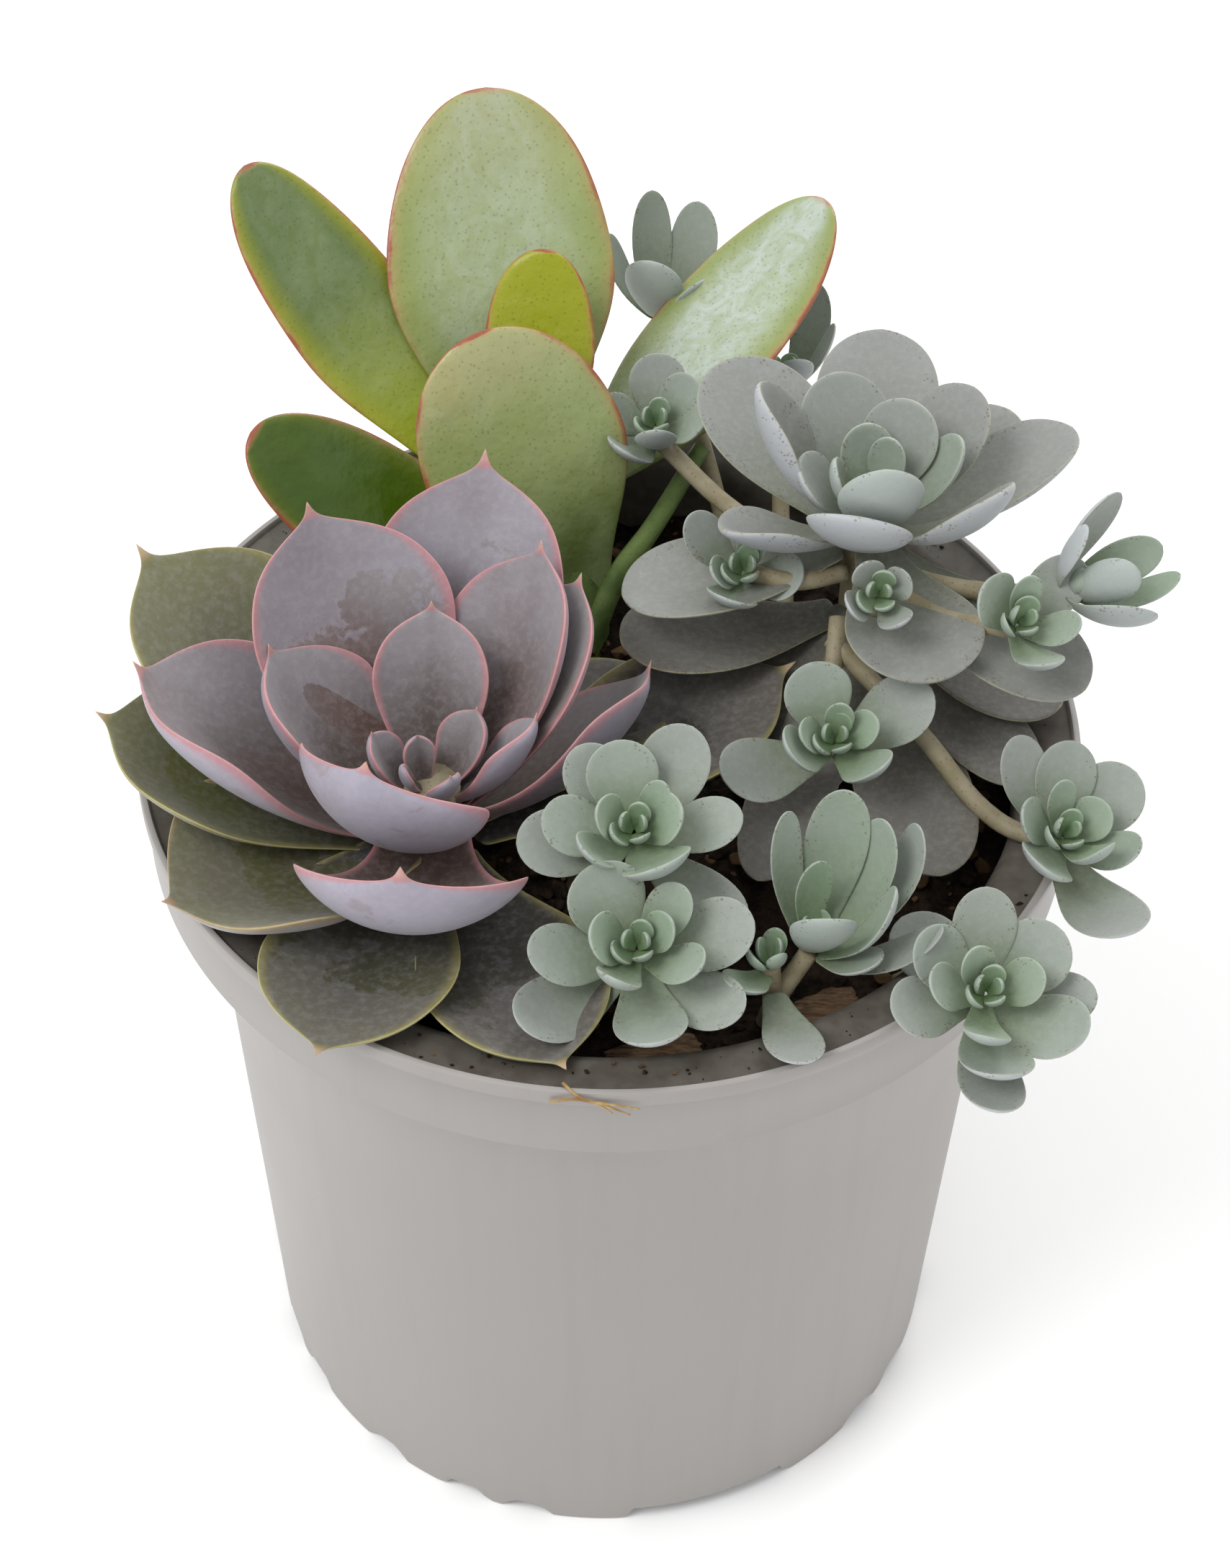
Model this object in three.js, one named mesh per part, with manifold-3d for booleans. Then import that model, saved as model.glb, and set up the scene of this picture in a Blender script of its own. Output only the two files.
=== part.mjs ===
// A plastic nursery pot planted with an echeveria, a jade plant and a stonecrop.
// Millimetres, +Z up. The origin is the middle of the pot's flat underside.
import * as THREE from "three";
import { mergeVertices } from "three/addons/utils/BufferGeometryUtils.js";
import Module from "manifold-3d";

const wasm = await Module();
wasm.setup();

// ---- Driving dimensions -------------------------------------------------------------------------

// Pot: an injection-moulded shell whose rim folds outwards into a hanging skirt.
const POT_HEIGHT = 124;
const LIP_RADIUS = 65;
const LIP_HEIGHT = 3;
const LIP_STAND = 0.6; // how far the lip stands out from the skirt
const SKIRT_DROP = 13; // from the lip's top to the skirt's lower edge
const WALL = 1.2;
const RIM_REACH = 7.2; // from the body's top out to the lip
const BODY_TOP_RADIUS = LIP_RADIUS - RIM_REACH; // outside, under the folded rim
const BODY_TAPER = 4.2; // how much slimmer than its top the foot is, in radius
const BODY_BASE_RADIUS = BODY_TOP_RADIUS - BODY_TAPER; // outside, at the foot
const LEDGE_DROP = 0.9; // the flat ledge lies this far below the lip's top
const POT_SIDES = 40;

// Pot floor: flat in the middle, with a raised drainage channel inside the foot ring.
const CHANNEL_WIDTH = 13.6; // from the flat floor's edge out to the foot's outside
const FLOOR_FLAT_RADIUS = BODY_BASE_RADIUS - CHANNEL_WIDTH;
const CHANNEL_HEIGHT = 7.5;
const CHANNEL_SLOPE = 1.5;
const DRAIN_HOLES = 9;
const DRAIN_RADIUS = 2.8;

// Foot: three wide arches, and shallow notches between them.
const ARCHES = 3;
const ARCH_AZIMUTH = 289;
const ARCH_WIDTH = 24;
const ARCH_HEIGHT = 6;
const NOTCH_OFFSETS = [32, 43, 62, 78, 89]; // degrees on from each arch
const NOTCH_WIDTH = 5;
const NOTCH_HEIGHT = 2.2;

// Soil
const SOIL_DEPTH_BELOW_LIP = 12;
const SOIL_LUMP = 1.6;
const GAP = 0.3; // clearance kept between neighbouring pieces

// ---- Leaf kinds ---------------------------------------------------------------------------------

// stalk: half width at the foot, as a share of the widest; widest: where along the leaf it is widest;
// round: how square the tip is; thick: thickness in mm; cup: degrees that the width is bent through;
// around and along: facets.
const ECHEVERIA = { stalk: 0.36, widest: 0.64, round: 1.7, thick: 2.8, cup: 75, around: 7, along: 6 };
const JADE = { stalk: 0.24, widest: 0.52, round: 2.1, thick: 3.2, cup: 14, around: 8, along: 6 };
const STONECROP = { stalk: 0.32, widest: 0.64, round: 2.2, thick: 2, cup: 50, around: 7, along: 5 };
const OFFSET = { stalk: 0.42, widest: 0.6, round: 2.2, thick: 1.5, cup: 55, around: 5, along: 4 };

// Where a leaf leaves its stem, as shares of its own reach.
const FOOT_OUT = 0.1;
const FOOT_DOWN = 0.2;

// ---- Where the leaves are -----------------------------------------------------------------------

// The plants' places are drawn for a pot whose lip and soil lie here, and move with the real pot's.
const DRAWN_LIP = 124;
const DRAWN_SOIL = 112;
const DRAWN_SOIL_RADIUS = 56.3;
const SUNK = "sunk"; // the height of a stem's foot in the soil
const STEM_SINK = 3;

// Each leaf is [name, azimuth, reach, lift, width, curl, turn, cup]. Reach and lift go from the middle of
// the rosette out and up to the leaf's tip. Curl is the degrees that it bends upwards along its
// length, turn the degrees that it is turned about its length, and cup the degrees that its width is
// bent through.

const ECHEVERIA_CROWN = { at: [-24, -19, 130], stem: 4.5 };
const ECHEVERIA_LEAVES = [
  ["inner_back", 89, 16.5, 16.5, 17.5, 60, 0, 100],
  ["inner_front", 246, 14, 18, 33, 115, 0, 115],
  ["inner_left", 155, 23.5, 13, 25, 65, 10, 125],
  ["inner_right", 2, 14, 10, 13, 60, -25, 125],
  ["back_right", 52, 28, 20.5, 25, 55, -14, 105],
  ["back_left", 120, 32, 23, 32.5, 50, 0, 95],
  ["back", 81, 40.5, 22, 31, 45, 0, 95],
  ["right", 12, 32, 9.5, 30, 70, -40, 100],
  ["front", 268, 28, 16, 35, 120, 0, 105],
  ["left", 176, 37, 15, 37, 55, 14, 120],
  ["back_right_under", 44, 29, 17, 25, 50, -10, 100],
  ["lower_left", 213, 37, -2, 39, 45, 8, 100],
  ["outer_back_left", 144, 48, 15, 34, 35, 0, 95],
  ["outer_left", 172, 43, 6, 31, 40, 0, 95],
  ["bottom", 255, 43, -3, 28, 25, 0, 70],
  ["bottom_right", 294, 46, -5, 27, 25, 0, 75],
  ["right_rear", 27, 54, -1, 28, 25, 0, 80],
  ["under_left", 232, 27, -13, 18, 20, 0, 70],
  ["right_rear_under", 44, 44, -7, 22, 20, 0, 70],
];
const ECHEVERIA_BUD = [
  [50, 9.5, 7, 9, 75],
  [160, 7.5, 7, 8, 75],
  [110, 3, 6, 4.5, 75],
  [200, 3, 5, 4, 75],
  [310, 5, 6, 6, 75],
];

const JADE_UPPER = { at: [-13, 40, 136] };
const JADE_LOWER = { at: [-1, 28.5, 123] };
const JADE_UPPER_LEAVES = [
  ["left", 136, 56, 25, 20.5, 20, -15, 14],
  ["right", 42, 61, 17, 26, 20, -10, 14],
  ["back", 98, 49.5, 31, 34.5, 15, 0, 14],
  ["bright", 83, 23, 21, 16.5, 20, 0, 14],
];
const JADE_LOWER_LEAVES = [
  ["front", 138, 26.5, 31, 31, 0, -30, 14],
  ["low_left", 161, 52, 18.5, 22, 25, -25, 14],
];
const JADE_STEM = [
  [-4, 26, SUNK],
  [-4, 31, 117],
  [-10, 38, 128],
  [-13, 40, 137],
];
const JADE_STEM_RADIUS = 3.4;
const JADE_BRANCH = [
  [-5, 22, SUNK],
  [0, 31, 120],
  [6, 40, 124],
  [13, 52, 129],
];
const JADE_BRANCH_RADIUS = 1.9;

const STONECROP_CROWN = { at: [35, 16, 150], stem: 3.2 };
const STONECROP_LEAVES = [
  ["inner_back_right", 62, 11, 10, 12, 60, 0, 60],
  ["inner_left", 172, 10, 6, 10, 60, 0, 75],
  ["inner_back_left", 104, 18, 8.5, 14, 60, 0, 60],
  ["back_right", 47, 21, 8, 14, 55, 0, 70],
  ["left_cupped", 163, 17, 13.5, 15, 75, 20, 140],
  ["front", 256, 11.5, 7.5, 15.5, 110, 0, 70],
  ["front_right", 326, 18, 10, 14.5, 80, -15, 90],
  ["front_left", 205, 21, 1, 16, 50, 25, 100],
  ["back", 85, 35, 2.5, 19, 40, 0, 50],
  ["left", 127, 33, 3, 20, 40, 0, 60],
  ["right", 22, 32, 2, 18, 45, -15, 85],
  ["under_back_right", 50, 33, -4, 15, 35, 0, 50],
  ["lower_front", 288, 26.5, -9, 20, 35, 0, 60],
  ["lower_left", 192, 34, -12, 20, 30, 8, 55],
  ["lower_right", 322, 36, -13, 18, 30, 0, 50],
];
// Old leaves that hang round the stem, under the rosette: rows as above, without a name.
const STONECROP_OLD_CROWN = { at: [35, 16, 138] };
const STONECROP_OLD = [
  [331, 31, -11, 17, 30, 0, 40],
  [310, 35, -14, 14, 30, 0, 40],
  [282, 44, -15, 17, 25, 0, 40],
  [254, 31, -15, 12, 30, 0, 50],
  [251, 47, -15, 12, 25, 0, 50],
  [197, 35, -5, 18, 30, 0, 45],
  [345, 24, -17, 13, 30, 0, 40],
  [225, 28, -16, 12, 30, 0, 40],
];
const STONECROP_BUD = [
  [95, 7, 8, 8, 70],
  [15, 12, 9, 9, 80],
  [60, 4.5, 8, 6, 70],
  [275, 7, 12, 13, 110],
  [180, 5, 7, 7, 80],
];

// Offsets: small rosettes, each on its own stem. lean is [azimuth, degrees] of the rosette's axis away
// from upright. Their leaves are [azimuth, reach, lift, width] about that axis, in its own frame.
const OFFSETS = {
  front_right: {
    at: [48, -50, 126.5],
    lean: [285, 24],
    leaves: [
      [92, 13, 3, 8], [40, 12.5, 2, 9], [2, 14, -1, 7], [332, 12, 2, 9], [275, 11, 2, 9],
      [274, 14.5, -1, 8], [262, 7.5, 4, 6], [180, 8, 4, 6], [195, 12.7, 1, 8], [144, 11, 2, 8],
      [14, 6.5, 4.5, 6], [122, 5, 5, 5], [128, 15, -8, 9],
    ],
    stem: [[37, -36, SUNK], [42, -42, 120], [47, -49, 125]],
  },
  right: {
    at: [60, -24, 127.5],
    lean: [300, 24],
    leaves: [
      [88, 12.5, 3, 8], [45, 13, 3, 9], [341, 8, 3, 6], [299, 14.5, 1, 10], [238, 8, 3, 8],
      [125, 14, 4, 7], [168, 7, 4, 6], [104, 6, 5, 4], [34, 6, 4, 6], [304, 4.5, 4, 5],
    ],
    stem: [[30, 4, 136], [42, -8, 130], [52, -18, 124], [59, -23, 125]],
  },
  middle: {
    at: [30, -13.5, 134],
    lean: [270, 24],
    leaves: [
      [110, 10.5, 3, 9], [29, 14.5, 2, 9], [200, 15.5, 0, 9], [205, 7, 4, 7], [310, 7.5, 4, 7],
      [15, 5.5, 4, 5], [180, 5, 4, 5], [80, 3.5, 5, 4],
    ],
    stem: [[31, 6, 138], [30, -4, 132], [30, -11, 132]],
  },
  front_left: {
    at: [4, -46.5, 130],
    lean: [270, 22],
    leaves: [
      [122, 11.5, 3, 10], [50, 9, 4, 6], [27, 4.5, 5, 5], [12, 15, 2, 9], [333, 8.5, 4, 6],
      [324, 15, 0, 8], [280, 13, 2, 9], [246, 6.5, 4, 6], [217, 17, 0, 9], [188, 13.5, 3, 8],
      [175, 6, 5, 7],
    ],
    stem: [[6, -30, SUNK], [5, -38, 116], [4, -45, 126]],
  },
  front_left_upper: {
    at: [3.5, -32, 136],
    lean: [270, 22],
    leaves: [
      [103, 11.5, 3, 9], [125, 13.5, 1, 8], [62, 15.5, 2, 9], [12, 6, 5, 7], [10, 14, 0, 7],
      [297, 7.5, 4, 9], [218, 7.5, 4, 6], [175, 12, 1, 8], [165, 5, 5, 6], [53, 6, 5, 4],
      [185, 15, -2, 9], [322, 17, -8, 8],
    ],
    stem: [[12, -18, SUNK], [9, -24, 122], [5, -30, 133]],
  },
  front_middle: {
    at: [26.5, -42, 126.5],
    lean: [40, 8],
    leaves: [
      [275, 5, 9, 8.5], [127, 9, 15, 5], [78, 7.5, 15.5, 8], [40, 8, 12, 7], [27, 11, 12, 6],
      [353, 8, 8, 7], [110, 2.5, 10, 5], [350, 14.5, 4, 6], [330, 9, 1, 6],
    ],
    stem: [[21, -44, SUNK], [22, -45, 118], [26, -42.5, 125]],
    sprout: {
      at: [21, -45, 126],
      lean: [100, 5],
      leaves: [[230, 8, 2, 6], [282, 18.5, 1, 7]],
      stem: [[22, -44, SUNK], [21.5, -45, 120], [21, -45, 125.5]],
    },
  },
  back_left: {
    at: [6, 45, 139],
    lean: [270, 20],
    leaves: [
      [88, 10.5, 3, 8], [50, 8, 4, 6], [350, 7, 4, 6], [270, 5, 4, 6], [235, 8, 2, 7], [165, 8, 3, 6],
    ],
    stem: [[24, 22, 138], [16, 34, 134], [7, 43.5, 137]],
  },
  back: {
    at: [7, 80, 133.5],
    lean: [90, 15],
    leaves: [
      [150, 9, 8, 5], [100, 9, 11, 6], [250, 6, 10, 9], [60, 10, 10, 8], [20, 12, 8, 6], [320, 8, 7, 7],
    ],
    stem: [[20, 34, SUNK], [15, 50, 124], [8, 78, 131]],
  },
  back_right: {
    at: [26, 66, 131],
    lean: [90, 15],
    leaves: [
      [60, 8, 9, 6], [150, 7, 7, 6], [215, 7, 6, 7], [280, 6, 6, 6], [10, 7, 8, 4],
    ],
    stem: [[26, 34, SUNK], [25, 48, 124], [26, 64, 128]],
  },
  far_right: {
    at: [62, 5, 145],
    lean: [0, 60],
    leaves: [
      [180, 9, 6, 5], [120, 10, 10, 8], [60, 5, 10, 6], [0, 4, 9, 5], [300, 7, 7.5, 9], [240, 5, 10, 6],
    ],
    stem: [[36, 12, 142], [48, 9, 141], [60, 5, 144]],
  },
  right_upper: {
    at: [54, -2, 145],
    lean: [300, 30],
    leaves: [
      [50, 12, 3, 7], [150, 7, 3, 8], [290, 7, 2, 6], [350, 6, 3, 5], [90, 5, 5, 4],
    ],
    stem: [[35, 9, 143], [44, 4, 141], [53, -1, 143]],
  },
  shoot_front: {
    at: [35.5, 1, 147],
    lean: [270, 40],
    leaves: [
      [30, 4.5, 2, 4.5], [120, 4.5, 2, 4.5], [210, 4.5, 2, 4.5], [300, 4.5, 2, 4.5],
    ],
    stem: [[34, 9, 142], [35, 4, 142], [35.5, 1.5, 146]],
  },
  shoot_left: {
    at: [18, 11, 141.8],
    lean: [270, 25],
    leaves: [
      [195, 4.5, 2, 5], [140, 10, 4, 6], [250, 6, 1, 7], [350, 8, 1, 7], [70, 4, 4, 4],
    ],
    stem: [[32, 12, 141], [25, 10, 141], [19, 11.5, 141]],
  },
};
const OFFSET_CURL = 50;
// A leaf on the side that its rosette leans to grows up against the lean: millimetres and degrees.
const OFFSET_RISE = 4.5;
const OFFSET_RISE_CURL = 40;
const OFFSET_FULLNESS = 1.15; // how much wider than its row a small rosette's leaf is
const OFFSET_STEM_RADIUS = 1.3;

// Bark chips: [x, y, length, width, height, azimuth], lying in the soil.
const BARK = {
  bark_chip_front: [6, -50, 13, 6, 4, 10],
  bark_chip_right: [28, -43, 12, 5, 4, 35],
};

// ---- Colours: [hex, roughness] -------------------------------------------------------------------

const LOOK = {
  pot: [0xa8a49f, 0.5],
  soil: [0x2e241c, 0.95],
  bark: [0x7a5a3c, 0.9],
  echeveria: [0x8a7077, 0.5],
  jade: [0x86a04a, 0.35],
  stonecrop: [0x93a396, 0.55],
  stem: [0xa39a72, 0.6],
  jade_stem: [0x5d7a36, 0.5],
};

// ---- Solids -------------------------------------------------------------------------------------

const radians = THREE.MathUtils.degToRad;

// Moves a point of the plants from the pot that they are drawn for to this one. A foot in the soil,
// whose height is SUNK, ends STEM_SINK under the soil's surface.
function onPot([x, y, z]) {
  const spread = innerRadiusAt(POT_HEIGHT - SOIL_DEPTH_BELOW_LIP) / DRAWN_SOIL_RADIUS;
  const [atX, atY] = [x * spread, y * spread];
  if (z === SUNK) return [atX, atY, soilHeight(atX, atY) - STEM_SINK];
  return [atX, atY, z + POT_HEIGHT - DRAWN_LIP];
}

function solid(geometry) {
  const bare = geometry.index ? geometry.clone() : geometry;
  bare.deleteAttribute("normal");
  bare.deleteAttribute("uv");
  const merged = mergeVertices(bare, 1e-4);
  const mesh = new wasm.Mesh({
    numProp: 3,
    vertProperties: new Float32Array(merged.attributes.position.array),
    triVerts: new Uint32Array(merged.index.array),
  });
  return new wasm.Manifold(mesh);
}

function geometryOf(made) {
  const mesh = made.getMesh();
  const geometry = new THREE.BufferGeometry();
  geometry.setAttribute("position", new THREE.BufferAttribute(mesh.vertProperties, mesh.numProp));
  geometry.setIndex(new THREE.BufferAttribute(mesh.triVerts, 1));
  geometry.computeVertexNormals();
  return geometry;
}

const join = (solids) => solids.reduce((whole, next) => whole.add(next));

// The biggest body of a solid that a cut may have parted.
function mainBody(made) {
  const bodies = made.decompose();
  return bodies.reduce((most, next) => (next.volume() > most.volume() ? next : most));
}

// Half width along a leaf, as a share of its widest half width.
function outline(kind, along) {
  if (along > kind.widest) {
    const past = (along - kind.widest) / (1 - kind.widest);
    return Math.pow(Math.max(0, 1 - Math.pow(past, kind.round)), 1 / kind.round);
  }
  const rise = THREE.MathUtils.smoothstep(along, 0, kind.widest);
  return kind.stalk + (1 - kind.stalk) * rise;
}

// Bends a flat strip of the given length into an arc: returns the new [distance, height].
function arc(distance, height, length, degrees) {
  if (!degrees) return [distance, height];
  const radius = length / radians(degrees);
  const angle = distance / radius;
  return [(radius - height) * Math.sin(angle), radius - (radius - height) * Math.cos(angle)];
}

// A leaf that grows from the Z axis at the origin towards azimuth, with its tip at reach and lift.
// slack makes it that much bigger on every side, for the clearance that its neighbours keep.
function leafSolid(kind, [azimuth, reach, lift, width, curl, turn = 0, cup = kind.cup], slack) {
  const foot = [reach * FOOT_OUT, -reach * FOOT_DOWN];
  const chord = Math.hypot(reach - foot[0], lift - foot[1]);
  const half = radians(curl) / 2;
  const length = half ? (chord * half) / Math.sin(half) : chord;
  const rise = Math.atan2(lift - foot[1], reach - foot[0]) - half;

  const geometry = new THREE.SphereGeometry(1, kind.around, kind.along);
  const points = geometry.attributes.position;
  const point = new THREE.Vector3();
  for (let i = 0; i < points.count; i++) {
    point.fromBufferAttribute(points, i);
    const ring = Math.hypot(point.x, point.z);
    const along = (1 + point.y) / 2;
    const across = ring > 1e-6 ? point.x / ring : 0;
    const up = ring > 1e-6 ? point.z / ring : 0;
    const share = ring > 1e-6 ? outline(kind, along) : 0;
    const side = up > 0 ? 0.7 : 1.3;
    const x = across * (share * width * 0.5 + slack);
    const z = up * side * (Math.sqrt(share) * kind.thick * 0.5 + slack);
    const y = along * (length + 2 * slack) - slack;
    const [cupX, cupZ] = arc(x, z, width, cup);
    const [curlY, curlZ] = arc(y, cupZ, length, curl);
    points.setXYZ(i, cupX, curlY, curlZ);
  }
  geometry.rotateY(radians(turn));
  geometry.rotateX(rise);
  geometry.translate(0, foot[0], foot[1]);
  geometry.rotateZ(radians(azimuth - 90));
  return solid(geometry);
}

// A round stem through the given points.
function stemSolid(route, radius, slack) {
  const curve = new THREE.CatmullRomCurve3(route.map((point) => new THREE.Vector3(...onPot(point))));
  const section = new THREE.Shape();
  section.absarc(0, 0, radius + slack, 0, Math.PI * 2);
  const options = { steps: route.length, curveSegments: 3, bevelEnabled: false, extrudePath: curve };
  return solid(new THREE.ExtrudeGeometry(section, options));
}

function ball(at, radius, tall) {
  const geometry = new THREE.SphereGeometry(1, 6, 3);
  geometry.rotateX(Math.PI / 2);
  geometry.scale(radius, radius, tall);
  geometry.translate(...at);
  return solid(geometry);
}

// ---- Pot ----------------------------------------------------------------------------------------

function lathe(profile, sides) {
  const points = profile.map(([radius, height]) => new THREE.Vector2(radius, height));
  const geometry = new THREE.LatheGeometry(points, sides);
  geometry.rotateX(Math.PI / 2);
  return geometry;
}

const innerRadiusAt = (height) => {
  const share = height / (POT_HEIGHT - LIP_HEIGHT);
  return BODY_BASE_RADIUS + (BODY_TOP_RADIUS - BODY_BASE_RADIUS) * share - WALL;
};

// A block that cuts an arch of the given width and height through the foot ring.
function archCutter(azimuth, width, height) {
  const arch = new THREE.Shape();
  arch.moveTo(-width / 2, -1);
  arch.lineTo(-width / 2, height * 0.2);
  arch.lineTo(-width * 0.34, height);
  arch.lineTo(width * 0.34, height);
  arch.lineTo(width / 2, height * 0.2);
  arch.lineTo(width / 2, -1);
  arch.closePath();
  const depth = BODY_BASE_RADIUS * 0.2;
  const geometry = new THREE.ExtrudeGeometry(arch, { depth, bevelEnabled: false });
  geometry.rotateX(Math.PI / 2);
  geometry.rotateZ(Math.PI);
  geometry.scale(-1, 1, 1);
  geometry.translate(0, BODY_BASE_RADIUS - depth * 0.7, 0);
  geometry.rotateZ(radians(azimuth - 90));
  return geometry;
}

// The folded shell. slack moves the rim's top, outside and inside that much towards the plants.
function potSolid(slack) {
  const skirtOuter = LIP_RADIUS - LIP_STAND + slack;
  const skirtInner = LIP_RADIUS - LIP_STAND - WALL - slack;
  const skirtFoot = POT_HEIGHT - SKIRT_DROP - slack;
  const lipOuter = LIP_RADIUS + slack;
  const lipInner = LIP_RADIUS - 1.3 - slack;
  const top = POT_HEIGHT + slack;
  const ledge = top - LEDGE_DROP;
  const foldUnder = ledge - WALL - slack;
  const rimInner = innerRadiusAt(POT_HEIGHT) - slack;
  const base = BODY_BASE_RADIUS;
  const shell = solid(
    lathe(
      [
        [0, 0],
        [FLOOR_FLAT_RADIUS, 0],
        [FLOOR_FLAT_RADIUS + CHANNEL_SLOPE, CHANNEL_HEIGHT],
        [base - WALL, CHANNEL_HEIGHT],
        [base - WALL, 0],
        [base, 0],
        [BODY_TOP_RADIUS, foldUnder - 2],
        [BODY_TOP_RADIUS + 1.5, foldUnder],
        [skirtInner, foldUnder],
        [skirtInner, skirtFoot],
        [skirtOuter, skirtFoot],
        [skirtOuter, POT_HEIGHT - LIP_HEIGHT],
        [lipOuter, POT_HEIGHT - LIP_HEIGHT + LIP_STAND],
        [lipOuter, top - 0.4],
        [lipOuter - 0.5, top],
        [lipInner + 0.3, top],
        [lipInner, ledge],
        [rimInner + 2, ledge - 0.3],
        [rimInner, ledge - 4],
        [innerRadiusAt(CHANNEL_HEIGHT + WALL) - slack, CHANNEL_HEIGHT + WALL],
        [FLOOR_FLAT_RADIUS + CHANNEL_SLOPE - WALL, CHANNEL_HEIGHT + WALL],
        [FLOOR_FLAT_RADIUS - WALL, WALL],
        [0, WALL],
      ],
      POT_SIDES,
    ),
  );
  const cutters = [];
  for (let i = 0; i < ARCHES; i++) {
    const azimuth = ARCH_AZIMUTH + (360 / ARCHES) * i;
    cutters.push(solid(archCutter(azimuth, ARCH_WIDTH, ARCH_HEIGHT)));
    for (const offset of NOTCH_OFFSETS) {
      cutters.push(solid(archCutter(azimuth + offset, NOTCH_WIDTH, NOTCH_HEIGHT)));
    }
  }
  const channelMiddle = (FLOOR_FLAT_RADIUS + CHANNEL_SLOPE + base - WALL) / 2;
  for (let i = 0; i < DRAIN_HOLES; i++) {
    const hole = new THREE.CylinderGeometry(DRAIN_RADIUS, DRAIN_RADIUS, WALL * 4, 8);
    hole.rotateX(Math.PI / 2);
    hole.translate(channelMiddle, 0, CHANNEL_HEIGHT + WALL / 2);
    hole.rotateZ(radians((360 / DRAIN_HOLES) * i));
    cutters.push(solid(hole));
  }
  return shell.subtract(join(cutters));
}

// ---- Soil and bark ------------------------------------------------------------------------------

function soilHeight(x, y) {
  const lump = Math.sin(x * 0.21 + 1) * Math.cos(y * 0.17) + 0.6 * Math.sin(x * 0.47 - y * 0.39);
  return POT_HEIGHT - SOIL_DEPTH_BELOW_LIP + lump * SOIL_LUMP;
}

// The fill of the pot's inside, up to a lumpy surface. slack raises and widens it for clearance.
function soilSolid(slack) {
  const top = POT_HEIGHT - SOIL_DEPTH_BELOW_LIP;
  const flat = FLOOR_FLAT_RADIUS - WALL - GAP;
  const raised = CHANNEL_HEIGHT + WALL + GAP;
  const profile = [[0, WALL + GAP], [flat, WALL + GAP], [flat + CHANNEL_SLOPE, raised]];
  const clear = GAP - slack;
  profile.push([innerRadiusAt(raised) - clear, raised], [innerRadiusAt(top) - clear, top]);
  const RINGS = 4;
  for (let ring = RINGS - 1; ring >= 0; ring--) {
    profile.push([(innerRadiusAt(top) * ring) / RINGS, top]);
  }
  const geometry = lathe(profile, 24);
  const points = geometry.attributes.position;
  for (let i = 0; i < points.count; i++) {
    if (points.getZ(i) < top - 1e-3) continue;
    points.setZ(i, soilHeight(points.getX(i), points.getY(i)) + slack);
  }
  return solid(geometry);
}

function barkSolid([drawnX, drawnY, length, width, height, azimuth], slack) {
  const [x, y] = onPot([drawnX, drawnY, DRAWN_SOIL]);
  const chip = new THREE.Shape();
  chip.moveTo(-length / 2 - slack, -width * 0.2);
  chip.lineTo(-length * 0.2, -width / 2 - slack);
  chip.lineTo(length / 2 + slack, -width * 0.3 - slack);
  chip.lineTo(length * 0.4, width * 0.4 + slack);
  chip.lineTo(-length * 0.3, width / 2 + slack);
  chip.closePath();
  const geometry = new THREE.ExtrudeGeometry(chip, { depth: height + slack, bevelEnabled: false });
  geometry.rotateZ(radians(azimuth));
  geometry.translate(x, y, soilHeight(x, y) - height * 0.3);
  return solid(geometry);
}

// ---- Rosettes -----------------------------------------------------------------------------------

function toCrown(made, at, lean = [0, 0]) {
  const place = new THREE.Matrix4().makeTranslation(...at);
  const towards = radians(lean[0]);
  const axis = new THREE.Vector3(-Math.sin(towards), Math.cos(towards), 0);
  place.multiply(new THREE.Matrix4().makeRotationAxis(axis, radians(lean[1])));
  return made.transform(place.elements);
}

// The crown of a big rosette: its short stem, down to the soil, with the bud's leaves on it.
function crownSolid(crown, kind, bud, slack) {
  const [x, y, z] = crown.at;
  const route = [[x, y, SUNK], [x, y, (DRAWN_SOIL + z) / 2], [x, y, z - 1]];
  const pieces = [stemSolid(route, crown.stem, slack)];
  pieces.push(ball(onPot([x, y, z - 1]), crown.stem + slack, crown.stem + slack));
  for (const row of bud) pieces.push(toCrown(leafSolid(kind, row, slack), onPot(crown.at)));
  return join(pieces);
}

function offsetSolid(offset, slack) {
  const pieces = [stemSolid(offset.stem, OFFSET_STEM_RADIUS, slack)];
  const at = onPot(offset.at);
  pieces.push(toCrown(ball([0, 0, -1.2], 2.4 + slack, 4 + slack), at, offset.lean));
  for (const [azimuth, reach, lift, width] of offset.leaves) {
    const under = Math.max(0, Math.cos(radians(azimuth - offset.lean[0])));
    const row = [azimuth, reach * (1 + 0.1 * under), lift + OFFSET_RISE * under];
    row.push(width * OFFSET_FULLNESS, OFFSET_CURL + OFFSET_RISE_CURL * under);
    pieces.push(toCrown(leafSolid(OFFSET, row, slack), at, offset.lean));
  }
  if (offset.sprout) pieces.push(offsetSolid(offset.sprout, slack));
  return join(pieces);
}

// ---- The whole plant ----------------------------------------------------------------------------

const part = new THREE.Group();
part.name = "potted_succulents";
const placed = []; // the clearance shapes of what already stands

function overlaps(a, b) {
  return [0, 1, 2].every((i) => a.min[i] < b.max[i] && b.min[i] < a.max[i]);
}

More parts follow.
